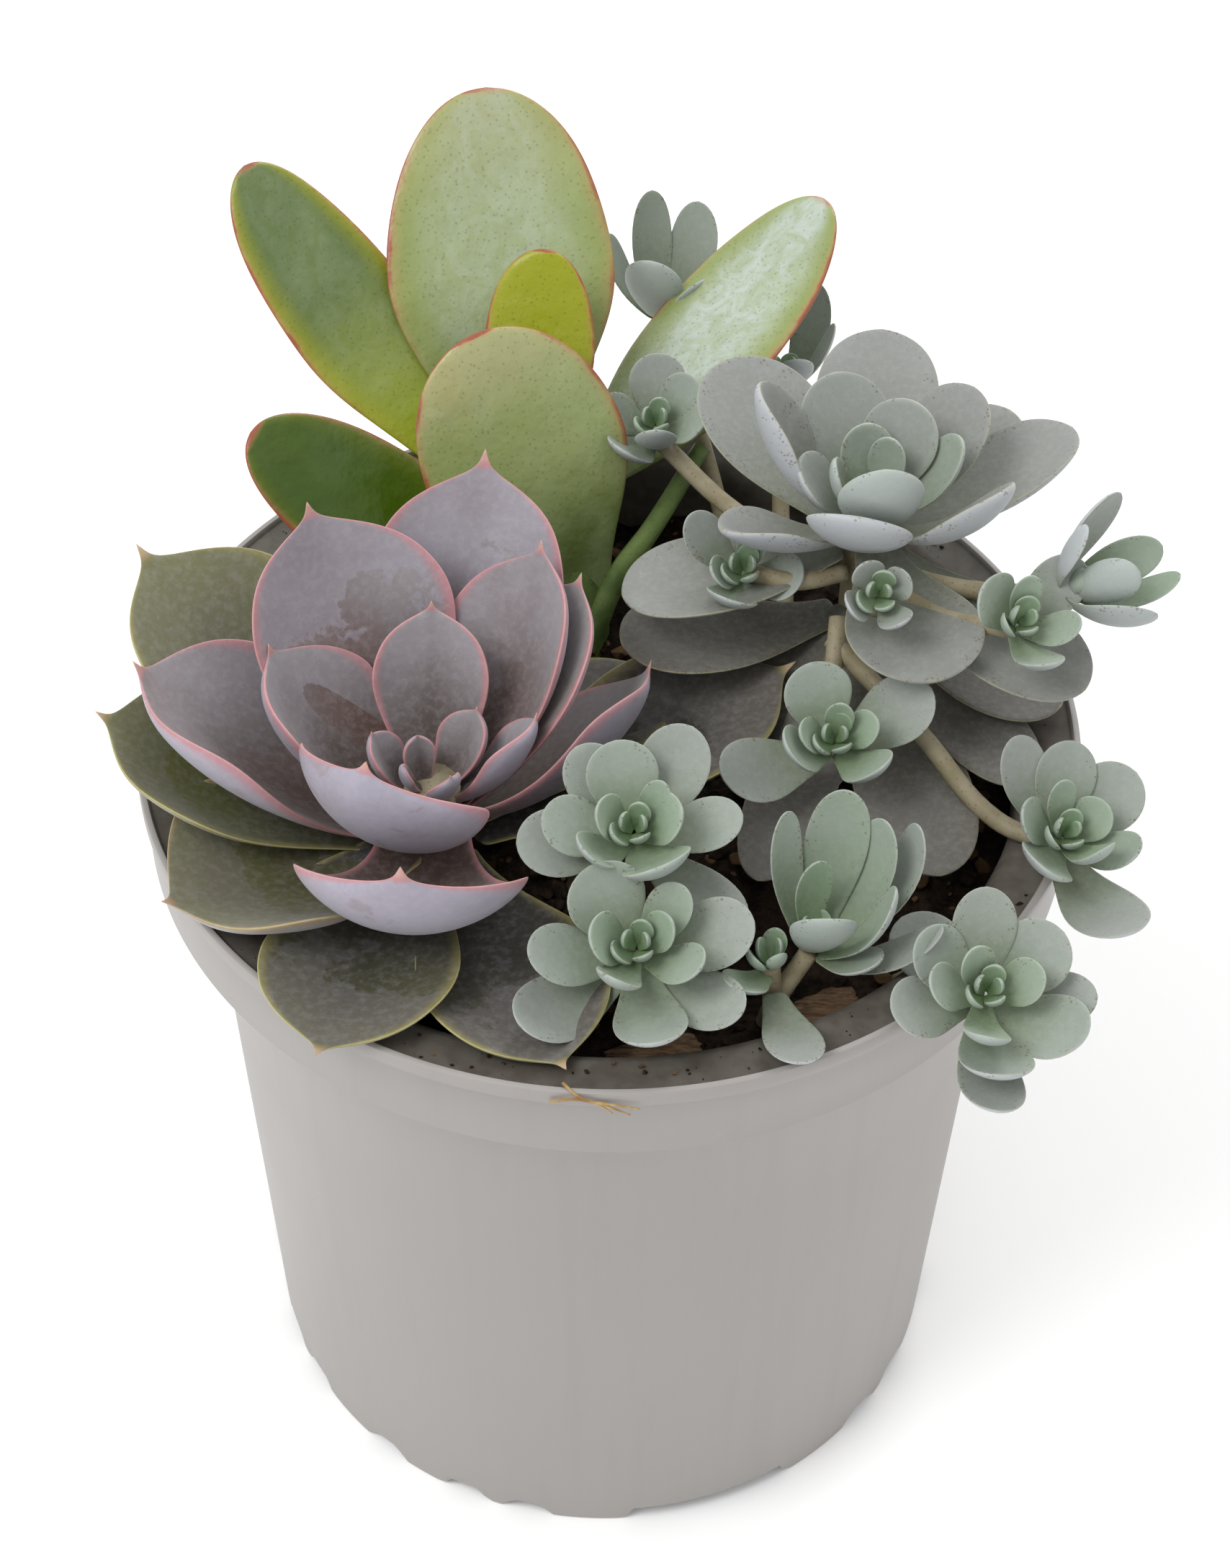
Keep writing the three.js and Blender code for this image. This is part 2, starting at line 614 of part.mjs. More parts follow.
// Adds a piece, cut back wherever it would come closer than GAP to what already stands.
function add(name, look, build) {
  let made = build(0);
  for (const other of placed) {
    if (overlaps(made.boundingBox(), other.box)) made = made.subtract(other.shape);
  }
  made = mainBody(made);
  const [color, roughness] = LOOK[look];
  const material = new THREE.MeshStandardMaterial({ color, roughness, metalness: 0 });
  const mesh = new THREE.Mesh(geometryOf(made), material);
  mesh.name = name;
  part.add(mesh);
  const shape = build(GAP);
  placed.push({ shape, box: shape.boundingBox() });
}

function addRosette(prefix, look, crown, kind, leaves) {
  for (const [name, ...row] of leaves) {
    add(prefix + name, look, (slack) => toCrown(leafSolid(kind, row, slack), onPot(crown.at)));
  }
}

add("pot", "pot", potSolid);
add("soil", "soil", soilSolid);
for (const [name, chip] of Object.entries(BARK)) add(name, "bark", (slack) => barkSolid(chip, slack));

for (const [name, offset] of Object.entries(OFFSETS)) {
  add("stonecrop_offset_" + name, "stonecrop", (slack) => offsetSolid(offset, slack));
}
add("echeveria_crown", "echeveria", (slack) =>
  crownSolid(ECHEVERIA_CROWN, ECHEVERIA, ECHEVERIA_BUD, slack));
addRosette("echeveria_leaf_", "echeveria", ECHEVERIA_CROWN, ECHEVERIA, ECHEVERIA_LEAVES);

add("jade_stem", "jade_stem", (slack) =>
  stemSolid(JADE_STEM, JADE_STEM_RADIUS, slack).add(stemSolid(JADE_BRANCH, JADE_BRANCH_RADIUS, slack)));
addRosette("jade_leaf_", "jade", JADE_LOWER, JADE, JADE_LOWER_LEAVES);
addRosette("jade_leaf_", "jade", JADE_UPPER, JADE, JADE_UPPER_LEAVES);

add("stonecrop_crown", "stonecrop", (slack) => {
  const old = STONECROP_OLD.map((row) =>
    toCrown(leafSolid(STONECROP, row, slack), onPot(STONECROP_OLD_CROWN.at)));
  return join([crownSolid(STONECROP_CROWN, STONECROP, STONECROP_BUD, slack), ...old]);
});
addRosette("stonecrop_leaf_", "stonecrop", STONECROP_CROWN, STONECROP, STONECROP_LEAVES);

export default part;
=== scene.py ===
# A nursery pot of three succulents: a mauve echeveria, a jade plant and a blue-green stonecrop with its
# small offsets. Metres, +Z up. Sizes below are millimetres, turned into metres by MM.
import math
import random

import bmesh
import bpy
from mathutils import Matrix, Vector, noise


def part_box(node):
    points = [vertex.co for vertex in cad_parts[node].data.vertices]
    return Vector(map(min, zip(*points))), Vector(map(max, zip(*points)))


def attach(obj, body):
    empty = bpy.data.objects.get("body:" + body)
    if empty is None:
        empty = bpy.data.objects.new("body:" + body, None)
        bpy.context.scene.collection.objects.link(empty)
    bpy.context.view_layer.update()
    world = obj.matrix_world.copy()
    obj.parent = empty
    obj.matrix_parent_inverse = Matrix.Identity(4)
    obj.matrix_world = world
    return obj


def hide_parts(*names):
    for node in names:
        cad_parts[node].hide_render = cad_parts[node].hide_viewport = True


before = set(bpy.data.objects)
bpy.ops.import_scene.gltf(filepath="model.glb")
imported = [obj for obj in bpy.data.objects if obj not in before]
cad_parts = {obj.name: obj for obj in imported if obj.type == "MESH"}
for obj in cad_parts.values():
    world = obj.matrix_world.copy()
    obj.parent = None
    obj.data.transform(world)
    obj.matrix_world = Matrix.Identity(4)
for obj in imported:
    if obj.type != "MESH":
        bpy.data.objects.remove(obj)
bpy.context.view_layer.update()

MM = 0.001
STUDIO_LIGHT = 1.45  # how much brighter than its own colour a white card looks in this light
rng = random.Random(11)

# ---- Sizes ---------------------------------------------------------------------------------------

POT_LOW, POT_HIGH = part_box("pot")
POT_HEIGHT = POT_HIGH[2]
LIP_RADIUS = (POT_HIGH[0] - POT_LOW[0]) / 2
LIP_STAND = 0.6 * MM
LIP_HEIGHT = 3 * MM
SKIRT_DROP = 13 * MM
WALL = 1.2 * MM
BODY_TOP_RADIUS = LIP_RADIUS - 7.2 * MM
BODY_BASE_RADIUS = LIP_RADIUS - 11.4 * MM
LEDGE_DROP = 0.9 * MM
FLOOR_FLAT_RADIUS = 40 * MM
CHANNEL_HEIGHT = 7.5 * MM
POT_STEPS = 240
ARCHES = [(289 + 120 * i, 24 * MM, 6 * MM) for i in range(3)]
NOTCHES = [(289 + 120 * i + offset, 6 * MM, 2.4 * MM) for i in range(3) for offset in (32, 43, 62, 78, 89)]
SOIL_DEPTH_BELOW_LIP = 12 * MM
SOIL_TOP = POT_HEIGHT - SOIL_DEPTH_BELOW_LIP
SOIL_RADIUS = 56.2 * MM
SOIL_THICKNESS = 25 * MM
SOIL_LUMP = 1.6 * MM
SOIL_RINGS = 44
SOIL_SEGMENTS = 144
CRUMBS = 1500
LEDGE_CRUMBS = 260

# ---- Leaf kinds ----------------------------------------------------------------------------------

# stalk: half width at the foot as a share of the widest. widest: where it is widest. blunt: how square
# the tip is. thick: thickness. cup: degrees that the width is bent through. flat: the share of its
# depth that the upper face keeps. point: length of the tip's point, as a share of the leaf's length.
KINDS = {
    "echeveria": dict(stalk=0.36, widest=0.64, blunt=1.7, thick=3.0, cup=110, point=0.05, flat=0.5,
                      segments=24, rings=16, wave=0.7),
    "jade": dict(stalk=0.24, widest=0.52, blunt=2.1, thick=3.4, cup=14, point=0.0, flat=0.8,
                 segments=24, rings=16, wave=0.9),
    "stonecrop": dict(stalk=0.32, widest=0.64, blunt=2.2, thick=2.2, cup=50, point=0.008, flat=0.6,
                      segments=20, rings=14, wave=0.5),
    "offset": dict(stalk=0.42, widest=0.6, blunt=2.2, thick=1.7, cup=55, point=0.012, flat=0.6,
                   segments=16, rings=10, wave=0.25),
}
# Where a leaf leaves its stem, as shares of its own reach.
FOOT_OUT = 0.1
FOOT_DOWN = 0.2
BURIED = 108  # the height of a crown's foot, in the soil

# Each leaf is (azimuth, reach, lift, width, curl, turn, cup), as its CAD node has it.
ECHEVERIA_CROWN = (-24, -19, 130)
ECHEVERIA_STEM_RADIUS = 4.5 * MM
ECHEVERIA = {
    "inner_back": (89, 16.5, 16.5, 17.5, 60, 0, 100),
    "inner_front": (246, 14, 18, 33, 115, 0, 115),
    "inner_left": (155, 23.5, 13, 25, 65, 10, 125),
    "inner_right": (2, 14, 10, 13, 60, -25, 125),
    "back_right": (52, 28, 20.5, 25, 55, -14, 105),
    "back_left": (120, 32, 23, 32.5, 50, 0, 95),
    "back": (81, 40.5, 22, 31, 45, 0, 95),
    "right": (12, 32, 9.5, 30, 70, -40, 100),
    "front": (268, 28, 16, 35, 120, 0, 105),
    "left": (176, 37, 15, 37, 55, 14, 120),
    "back_right_under": (44, 29, 17, 25, 50, -10, 100),
    "lower_left": (213, 37, -2, 39, 45, 8, 100),
    "outer_back_left": (144, 48, 15, 34, 35, 0, 95),
    "outer_left": (172, 43, 6, 31, 40, 0, 95),
    "bottom": (255, 43, -3, 28, 25, 0, 70),
    "bottom_right": (294, 46, -5, 27, 25, 0, 75),
    "right_rear": (27, 54, -1, 28, 25, 0, 80),
    "under_left": (232, 27, -13, 18, 20, 0, 70),
    "right_rear_under": (44, 44, -7, 22, 20, 0, 70),
}
ECHEVERIA_BUD = [(50, 9.5, 7, 9, 75), (160, 7.5, 7, 8, 75), (110, 3, 6, 4.5, 75), (200, 3, 5, 4, 75),
                 (310, 5, 6, 6, 75)]
ECHEVERIA_AGE = {
    "inner_back": 0.05, "inner_front": 0.1, "inner_left": 0.15, "inner_right": 0.1, "back_right": 0.2,
    "back_left": 0.3, "back": 0.35, "right": 0.25, "front": 0.3, "left": 0.35, "back_right_under": 0.5,
    "lower_left": 0.75, "outer_back_left": 0.85, "outer_left": 0.9, "bottom": 0.97, "bottom_right": 1.0,
    "right_rear": 1.0, "under_left": 1.0, "right_rear_under": 1.0,
}

JADE_UPPER = (-13, 40, 136)
JADE_LOWER = (-1, 28.5, 123)
JADE_UPPER_LEAVES = {
    "left": (136, 56, 25, 20.5, 20, -15, 14),
    "right": (42, 61, 17, 26, 20, -10, 14),
    "back": (98, 49.5, 31, 34.5, 15, 0, 14),
    "bright": (83, 23, 21, 16.5, 20, 0, 14),
}
JADE_LOWER_LEAVES = {
    "front": (138, 26.5, 31, 31, 0, -30, 14),
    "low_left": (161, 52, 18.5, 22, 25, -25, 14),
}
JADE_STEM = [(-4, 26, 105), (-4, 31, 117), (-10, 38, 128), (-13, 40, 137)]
JADE_BRANCH = [(-5, 22, 106), (0, 31, 120), (6, 40, 124), (13, 52, 129)]
JADE_STEM_RADIUS = 3.4 * MM
JADE_BRANCH_RADIUS = 1.9 * MM
JADE_PAINTED_SHEEN = {"right": 0.95, "back": 0.4, "left": 0.12}  # how much painted sheen, a painted reflection of the studio light, covers a leaf

STONECROP_CROWN = (35, 16, 150)
STONECROP_STEM_RADIUS = 3.2 * MM
STONECROP = {
    "inner_back_right": (62, 11, 10, 12, 60, 0, 60),
    "inner_left": (172, 10, 6, 10, 60, 0, 75),
    "inner_back_left": (104, 18, 8.5, 14, 60, 0, 60),
    "back_right": (47, 21, 8, 14, 55, 0, 70),
    "left_cupped": (163, 17, 13.5, 15, 75, 20, 140),
    "front": (256, 11.5, 7.5, 15.5, 110, 0, 70),
    "front_right": (326, 18, 10, 14.5, 80, -15, 90),
    "front_left": (205, 21, 1, 16, 50, 25, 100),
    "back": (85, 35, 2.5, 19, 40, 0, 50),
    "left": (127, 33, 3, 20, 40, 0, 60),
    "right": (22, 32, 2, 18, 45, -15, 85),
    "under_back_right": (50, 33, -4, 15, 35, 0, 50),
    "lower_front": (288, 26.5, -9, 20, 35, 0, 60),
    "lower_left": (192, 34, -12, 20, 30, 8, 55),
    "lower_right": (322, 36, -13, 18, 30, 0, 50),
}
# Old leaves that hang round the stem, under the rosette.
STONECROP_OLD_CROWN = (35, 16, 138)
STONECROP_OLD = [
    (331, 31, -11, 17, 30, 0, 40), (310, 35, -14, 14, 30, 0, 40), (282, 44, -15, 17, 25, 0, 40),
    (254, 31, -15, 12, 30, 0, 50), (251, 47, -15, 12, 25, 0, 50), (197, 35, -5, 18, 30, 0, 45),
    (345, 24, -17, 13, 30, 0, 40), (225, 28, -16, 12, 30, 0, 40),
]
STONECROP_BUD = [(95, 7, 8, 8, 70), (15, 12, 9, 9, 80), (60, 4.5, 8, 6, 70), (275, 7, 12, 13, 110),
                 (180, 5, 7, 7, 80)]

# Small rosettes: where they sit, which way they lean, their leaves (azimuth, reach, lift, width) and
# the points that the stem runs through.
OFFSETS = {
    "front_right": dict(
        at=(48, -50, 126.5), lean=(285, 24),
        leaves=[(92, 13, 3, 8), (40, 12.5, 2, 9), (2, 14, -1, 7), (332, 12, 2, 9), (275, 11, 2, 9),
                (274, 14.5, -1, 8), (262, 7.5, 4, 6), (180, 8, 4, 6), (195, 12.7, 1, 8), (144, 11, 2, 8),
                (14, 6.5, 4.5, 6), (122, 5, 5, 5), (128, 15, -8, 9)],
        stem=[(37, -36, 110), (42, -42, 120), (47, -49, 125)]),
    "right": dict(
        at=(60, -24, 127.5), lean=(300, 24),
        leaves=[(88, 12.5, 3, 8), (45, 13, 3, 9), (341, 8, 3, 6), (299, 14.5, 1, 10), (238, 8, 3, 8),
                (125, 14, 4, 7), (168, 7, 4, 6), (104, 6, 5, 4), (34, 6, 4, 6), (304, 4.5, 4, 5)],
        stem=[(30, 4, 136), (42, -8, 130), (52, -18, 124), (59, -23, 125)]),
    "middle": dict(
        at=(30, -13.5, 134), lean=(270, 24),
        leaves=[(110, 10.5, 3, 9), (29, 14.5, 2, 9), (200, 15.5, 0, 9), (205, 7, 4, 7), (310, 7.5, 4, 7),
                (15, 5.5, 4, 5), (180, 5, 4, 5), (80, 3.5, 5, 4)],
        stem=[(31, 6, 138), (30, -4, 132), (30, -11, 132)]),
    "front_left": dict(
        at=(4, -46.5, 130), lean=(270, 22),
        leaves=[(122, 11.5, 3, 10), (50, 9, 4, 6), (27, 4.5, 5, 5), (12, 15, 2, 9), (333, 8.5, 4, 6),
                (324, 15, 0, 8), (280, 13, 2, 9), (246, 6.5, 4, 6), (217, 17, 0, 9), (188, 13.5, 3, 8),
                (175, 6, 5, 7)],
        stem=[(6, -30, 108), (5, -38, 116), (4, -45, 126)]),
    "front_left_upper": dict(
        at=(3.5, -32, 136), lean=(270, 22),
        leaves=[(103, 11.5, 3, 9), (125, 13.5, 1, 8), (62, 15.5, 2, 9), (12, 6, 5, 7), (10, 14, 0, 7),
                (297, 7.5, 4, 9), (218, 7.5, 4, 6), (175, 12, 1, 8), (165, 5, 5, 6), (53, 6, 5, 4),
                (185, 15, -2, 9), (322, 17, -8, 8)],
        stem=[(12, -18, 110), (9, -24, 122), (5, -30, 133)]),
    "front_middle": dict(
        at=(26.5, -42, 126.5), lean=(40, 8),
        leaves=[(275, 5, 9, 8.5), (127, 9, 15, 5), (78, 7.5, 15.5, 8), (40, 8, 12, 7), (27, 11, 12, 6),
                (353, 8, 8, 7), (110, 2.5, 10, 5), (350, 14.5, 4, 6), (330, 9, 1, 6)],
        stem=[(21, -44, 112), (22, -45, 118), (26, -42.5, 125)],
        sprout=dict(
            at=(21, -45, 126), lean=(100, 5), leaves=[(230, 8, 2, 6), (282, 18.5, 1, 7)],
            stem=[(22, -44, 113), (21.5, -45, 120), (21, -45, 125.5)])),
    "back_left": dict(
        at=(6, 45, 139), lean=(270, 20),
        leaves=[(88, 10.5, 3, 8), (50, 8, 4, 6), (350, 7, 4, 6), (270, 5, 4, 6), (235, 8, 2, 7),
                (165, 8, 3, 6)],
        stem=[(24, 22, 138), (16, 34, 134), (7, 43.5, 137)]),
    "back": dict(
        at=(7, 80, 133.5), lean=(90, 15),
        leaves=[(150, 9, 8, 5), (100, 9, 11, 6), (250, 6, 10, 9), (60, 10, 10, 8), (20, 12, 8, 6),
                (320, 8, 7, 7)],
        stem=[(20, 34, 112), (15, 50, 124), (8, 78, 131)]),
    "back_right": dict(
        at=(26, 66, 131), lean=(90, 15),
        leaves=[(60, 8, 9, 6), (150, 7, 7, 6), (215, 7, 6, 7), (280, 6, 6, 6), (10, 7, 8, 4)],
        stem=[(26, 34, 112), (25, 48, 124), (26, 64, 128)]),
    "far_right": dict(
        at=(62, 5, 145), lean=(0, 60),
        leaves=[(180, 9, 6, 5), (120, 10, 10, 8), (60, 5, 10, 6), (0, 4, 9, 5), (300, 7, 7.5, 9),
                (240, 5, 10, 6)],
        stem=[(36, 12, 142), (48, 9, 141), (60, 5, 144)]),
    "right_upper": dict(
        at=(54, -2, 145), lean=(300, 30),
        leaves=[(50, 12, 3, 7), (150, 7, 3, 8), (290, 7, 2, 6), (350, 6, 3, 5), (90, 5, 5, 4)],
        stem=[(35, 9, 143), (44, 4, 141), (53, -1, 143)]),
    "shoot_front": dict(
        at=(35.5, 1, 147), lean=(270, 40),
        leaves=[(30, 4.5, 2, 4.5), (120, 4.5, 2, 4.5), (210, 4.5, 2, 4.5), (300, 4.5, 2, 4.5)],
        stem=[(34, 9, 142), (35, 4, 142), (35.5, 1.5, 146)]),
    "shoot_left": dict(
        at=(18, 11, 141.8), lean=(270, 25),
        leaves=[(195, 4.5, 2, 5), (140, 10, 4, 6), (250, 6, 1, 7), (350, 8, 1, 7), (70, 4, 4, 4)],
        stem=[(32, 12, 141), (25, 10, 141), (19, 11.5, 141)]),
}
OFFSET_CURL = 50
# A leaf on the side that its rosette leans to grows up against the lean: millimetres and degrees.
OFFSET_RISE = 4.5
OFFSET_RISE_CURL = 40
OFFSET_FULLNESS = 1.15  # how much wider than its row a small rosette's leaf is
OFFSET_STEM_RADIUS = 1.3 * MM

# ---- Node helpers --------------------------------------------------------------------------------


def srgb(red, green, blue):
    """A colour given as it looks under the studio's light, 0 to 255, in linear values for the shader."""
    def linear(value):
        value /= 255
        return (value / 12.92 if value < 0.04045 else ((value + 0.055) / 1.055) ** 2.4) / STUDIO_LIGHT
    return (linear(red), linear(green), linear(blue), 1.0)


class Finish:
    """One procedural material, built up node by node."""

    def __init__(self, name, roughness=0.5, specular=0.4, sheen=0.0, coat=0.0, subsurface=0.0):
        self.material = bpy.data.materials.new(name)
        self.material.use_nodes = True
        self.tree = self.material.node_tree
        self.shader = self.tree.nodes["Principled BSDF"]
        self.set(self.shader, "Roughness", roughness)
        self.set(self.shader, "Specular IOR Level", specular)
        self.set(self.shader, "Sheen Weight", sheen)
        self.set(self.shader, "Coat Weight", coat)
        self.set(self.shader, "Subsurface Weight", subsurface)
        self.place = self.add("ShaderNodeTexCoord").outputs["Object"]

    def add(self, kind, **settings):
        node = self.tree.nodes.new(kind)
        for key, value in settings.items():
            setattr(node, key, value)
        return node

    def set(self, node, socket, value):
        if isinstance(value, bpy.types.NodeSocket):
            self.tree.links.new(value, node.inputs[socket])
        else:
            node.inputs[socket].default_value = value

    def mark(self, name):
        return self.add("ShaderNodeAttribute", attribute_name=name).outputs["Fac"]

    def sum(self, operation, first, second=0.0, third=None):
        node = self.add("ShaderNodeMath", operation=operation)
        self.set(node, 0, first)
        self.set(node, 1, second)
        if third is not None:
            self.set(node, 2, third)
        return node.outputs[0]

    def step(self, value, low, high, to_low=0.0, to_high=1.0):
        node = self.add("ShaderNodeMapRange", interpolation_type="SMOOTHSTEP")
        self.set(node, "Value", value)
        self.set(node, "From Min", low)
        self.set(node, "From Max", high)
        self.set(node, "To Min", to_low)
        self.set(node, "To Max", to_high)
        return node.outputs["Result"]

    def mix(self, share, first, second):
        node = self.add("ShaderNodeMix", data_type="RGBA")
        self.set(node, 0, share)
        self.set(node, 6, first)
        self.set(node, 7, second)
        return node.outputs[2]

    def noise(self, scale, detail=3.0, roughness=0.5, distortion=0.0, place=None):
        node = self.add("ShaderNodeTexNoise")
        self.set(node, "Vector", place or self.place)
        self.set(node, "Scale", scale)
        self.set(node, "Detail", detail)
        self.set(node, "Roughness", roughness)
        self.set(node, "Distortion", distortion)
        return node.outputs["Fac"]

    def dots(self, scale, place=None, randomness=1.0):
        node = self.add("ShaderNodeTexVoronoi")
        self.set(node, "Vector", place or self.place)
        self.set(node, "Scale", scale)
        self.set(node, "Randomness", randomness)
        return node.outputs["Distance"]

    def stretch(self, scale, turn=(0, 0, 0)):
        node = self.add("ShaderNodeMapping")
        self.set(node, "Vector", self.place)
        self.set(node, "Scale", scale)
        self.set(node, "Rotation", turn)
        return node.outputs["Vector"]

    def bump(self, height, strength, distance, under=None):
        node = self.add("ShaderNodeBump")
        self.set(node, "Height", height)
        self.set(node, "Strength", strength)
        self.set(node, "Distance", distance)
        if under is not None:
            self.set(node, "Normal", under)
        return node.outputs["Normal"]

    def finish(self, colour, roughness=None, normal=None):
        self.set(self.shader, "Base Color", colour)
        if roughness is not None:
            self.set(self.shader, "Roughness", roughness)
        if normal is not None:
            self.set(self.shader, "Normal", normal)
        return self.material


# ---- Finishes ------------------------------------------------------------------------------------


def echeveria_finish():
    f = Finish("echeveria_skin", roughness=0.5, specular=0.35, sheen=0.15, subsurface=0.0)
    side, along, face, age = f.mark("side"), f.mark("along"), f.mark("face"), f.mark("age")
    blotch = f.noise(90, 3)
    fine = f.noise(900, 3, 0.65)
    # Upper face: brown at the foot and grey mauve towards the tip when young, olive when old. The young foot
    # is deepened with painted shade and the tip lightened with painted highlight.
    far = f.sum("ADD", along, f.sum("MULTIPLY", side, 0.25))
    young = f.mix(f.step(far, 0.3, 1.05), srgb(76, 62, 54), srgb(164, 158, 162))
    olive = f.mix(f.step(far, 0.35, 1.1), srgb(80, 82, 42), srgb(116, 118, 56))
    dark = f.mix(f.step(far, 0.35, 1.1), srgb(52, 50, 44), srgb(92, 88, 66))
    old = f.mix(f.step(age, 0.9, 1.0), olive, dark)
    upper = f.mix(f.step(age, 0.35, 0.85), young, old)
    flush = f.sum("MULTIPLY", f.step(f.noise(45, 3), 0.42, 0.62), f.step(age, 0.1, 0.3, 0, 0.4))
    upper = f.mix(f.sum("MULTIPLY", flush, f.step(age, 0.8, 0.5)), upper, srgb(132, 98, 92))
    # Back: pale lavender bloom, rubbed to brown in patches, rosy at the foot.
    rubbed = f.step(f.noise(120, 6, 0.62, 0.8), 0.6, 0.66)
    back = f.mix(f.step(along, 0.1, 0.6), srgb(152, 122, 126), srgb(184, 178, 194))
    back = f.mix(f.step(age, 0.5, 1.0), back, srgb(150, 146, 124))
    back = f.mix(f.sum("MULTIPLY", rubbed, 0.4), back, srgb(150, 128, 122))
    base = f.mix(f.step(face, -0.15, 0.15), back, upper)
    # Bloom: a pale dust with a ragged edge over part of the upper face.
    edge = f.sum("ADD", f.noise(90, 7, 0.62), f.sum("MULTIPLY", along, 0.8))
    dust = f.sum("MULTIPLY", f.step(edge, 0.98, 1.01), f.mark("bloom"))
    base = f.mix(f.sum("MULTIPLY", dust, 0.5), base, srgb(172, 168, 182))
    base = f.mix(f.step(blotch, 0.35, 0.75, 0, 0.22), base, srgb(104, 92, 88))
    # Margin: a soft pink blush, and a thin pale line on the very edge.
    rim = f.sum("MAXIMUM", side, f.step(along, 0.9, 1.0))
    blush = f.step(rim, 0.84, 1.0, 0, 0.85)
    aged = f.step(age, 0.5, 0.85)
    base = f.mix(blush, base, f.mix(aged, srgb(204, 136, 142), srgb(150, 142, 84)))
    line = f.step(rim, 0.975, 0.998, 0, 0.7)
    base = f.mix(line, base, f.mix(aged, srgb(222, 168, 162), srgb(206, 200, 128)))
    base = f.mix(f.step(along, 0.985, 1.0, 0, 0.7), base, srgb(214, 170, 150))
    base = f.mix(f.step(fine, 0.4, 0.7, 0, 0.1), base, srgb(226, 222, 228))
    normal = f.bump(fine, 0.12, 0.0004)
    normal = f.bump(f.noise(260, 4), 0.12, 0.0012, normal)
    return f.finish(base, f.step(blotch, 0.3, 0.7, 0.42, 0.58), normal)


def jade_finish():
    f = Finish("jade_skin", roughness=0.36, specular=0.32, coat=0.04)
    side, along, age = f.mark("side"), f.mark("along"), f.mark("age")
    blotch = f.noise(70, 3)
    # age: 0 dark green, 0.5 pale green, 1 yellow.
    green = f.mix(f.step(age, 0.0, 0.5), srgb(62, 92, 0), srgb(156, 170, 104))
    green = f.mix(f.step(age, 0.5, 1.0), green, srgb(164, 170, 18))
    # The foot of a pale leaf is painted a deeper green as painted shade, and its end is paler.
    green = f.mix(f.sum("MULTIPLY", f.step(along, 0.6, 0.15), f.step(age, 0.2, 0.5, 0, 0.85)), green,
                  srgb(70, 90, 26))
    pale_end = f.sum("MULTIPLY", f.step(age, 0.45, 0.55, 0, 0.7), f.step(age, 0.7, 0.9, 1, 0))
    green = f.mix(f.sum("MULTIPLY", f.step(along, 0.65, 0.95), pale_end), green, srgb(198, 186, 136))
    # Soft lengthwise bands of painted sheen: a pale painted reflection of the studio light.
    sheen_band = f.step(f.noise(1, 3, 0.6, 0.3, place=f.stretch((75, 75, 14))), 0.4, 0.7, 0, 0.35)
    sheen_band_share = f.sum("MULTIPLY", f.step(age, 0.1, 0.5, 0.25, 1.0), f.step(age, 0.7, 0.9, 1, 0.2))
    green = f.mix(f.sum("MULTIPLY", sheen_band, sheen_band_share), green, srgb(186, 198, 150))
    glow = f.sum("MULTIPLY", f.mark("bloom"), f.step(along, 0.72, 0.2))
    base = f.mix(glow, green, srgb(166, 178, 0))
    yellow_edge = f.sum("MULTIPLY", f.step(side, 0.55, 1.0, 0, 0.7), f.mark("bloom"))
    base = f.mix(yellow_edge, base, srgb(176, 176, 24))
    base = f.mix(f.step(blotch, 0.4, 0.75, 0, 0.12), base, srgb(170, 184, 90))
    # Painted sheen: a silvery, crumpled painted reflection of the studio light down the middle of some
    # leaves.
    crumple = f.step(f.noise(1, 5, 0.7, 1.2, place=f.stretch((260, 260, 90))), 0.35, 0.65, 0.45, 1.0)
    painted_sheen_mask = f.sum("MULTIPLY", f.mark("painted_sheen"), f.step(side, 0.9, 0.35))
    painted_sheen_mask = f.sum("MULTIPLY", f.sum("MULTIPLY", painted_sheen_mask, crumple), f.step(along, 0.2, 0.45))
    base = f.mix(painted_sheen_mask, base, srgb(204, 216, 206))
    # Small clear dots under the skin.
    dot = f.step(f.dots(1200), 0.0, 0.36, 1, 0)
    base = f.mix(f.sum("MULTIPLY", dot, 0.36), base, srgb(62, 78, 10))
    # A red margin, strongest towards the leaf's end, where it blushes.
    edge = f.sum("ADD", f.sum("MAXIMUM", side, f.step(along, 0.9, 1.0)),
                 f.sum("MULTIPLY", f.noise(150, 4), 0.16))
    reach = f.step(along, 0.25, 0.6)
    blush = f.sum("MULTIPLY", f.step(edge, 0.93, 1.1, 0, 0.5), reach)
    base = f.mix(blush, base, srgb(206, 140, 96))
    rim = f.sum("MULTIPLY", f.step(edge, 1.03, 1.08, 0, 0.85), reach)
    base = f.mix(rim, base, srgb(166, 72, 56))
    normal = f.bump(f.dots(1000), 0.06, 0.0004)
    normal = f.bump(f.noise(160, 4), 0.3, 0.002, normal)
    return f.finish(base, f.step(blotch, 0.3, 0.7, 0.28, 0.42), normal)


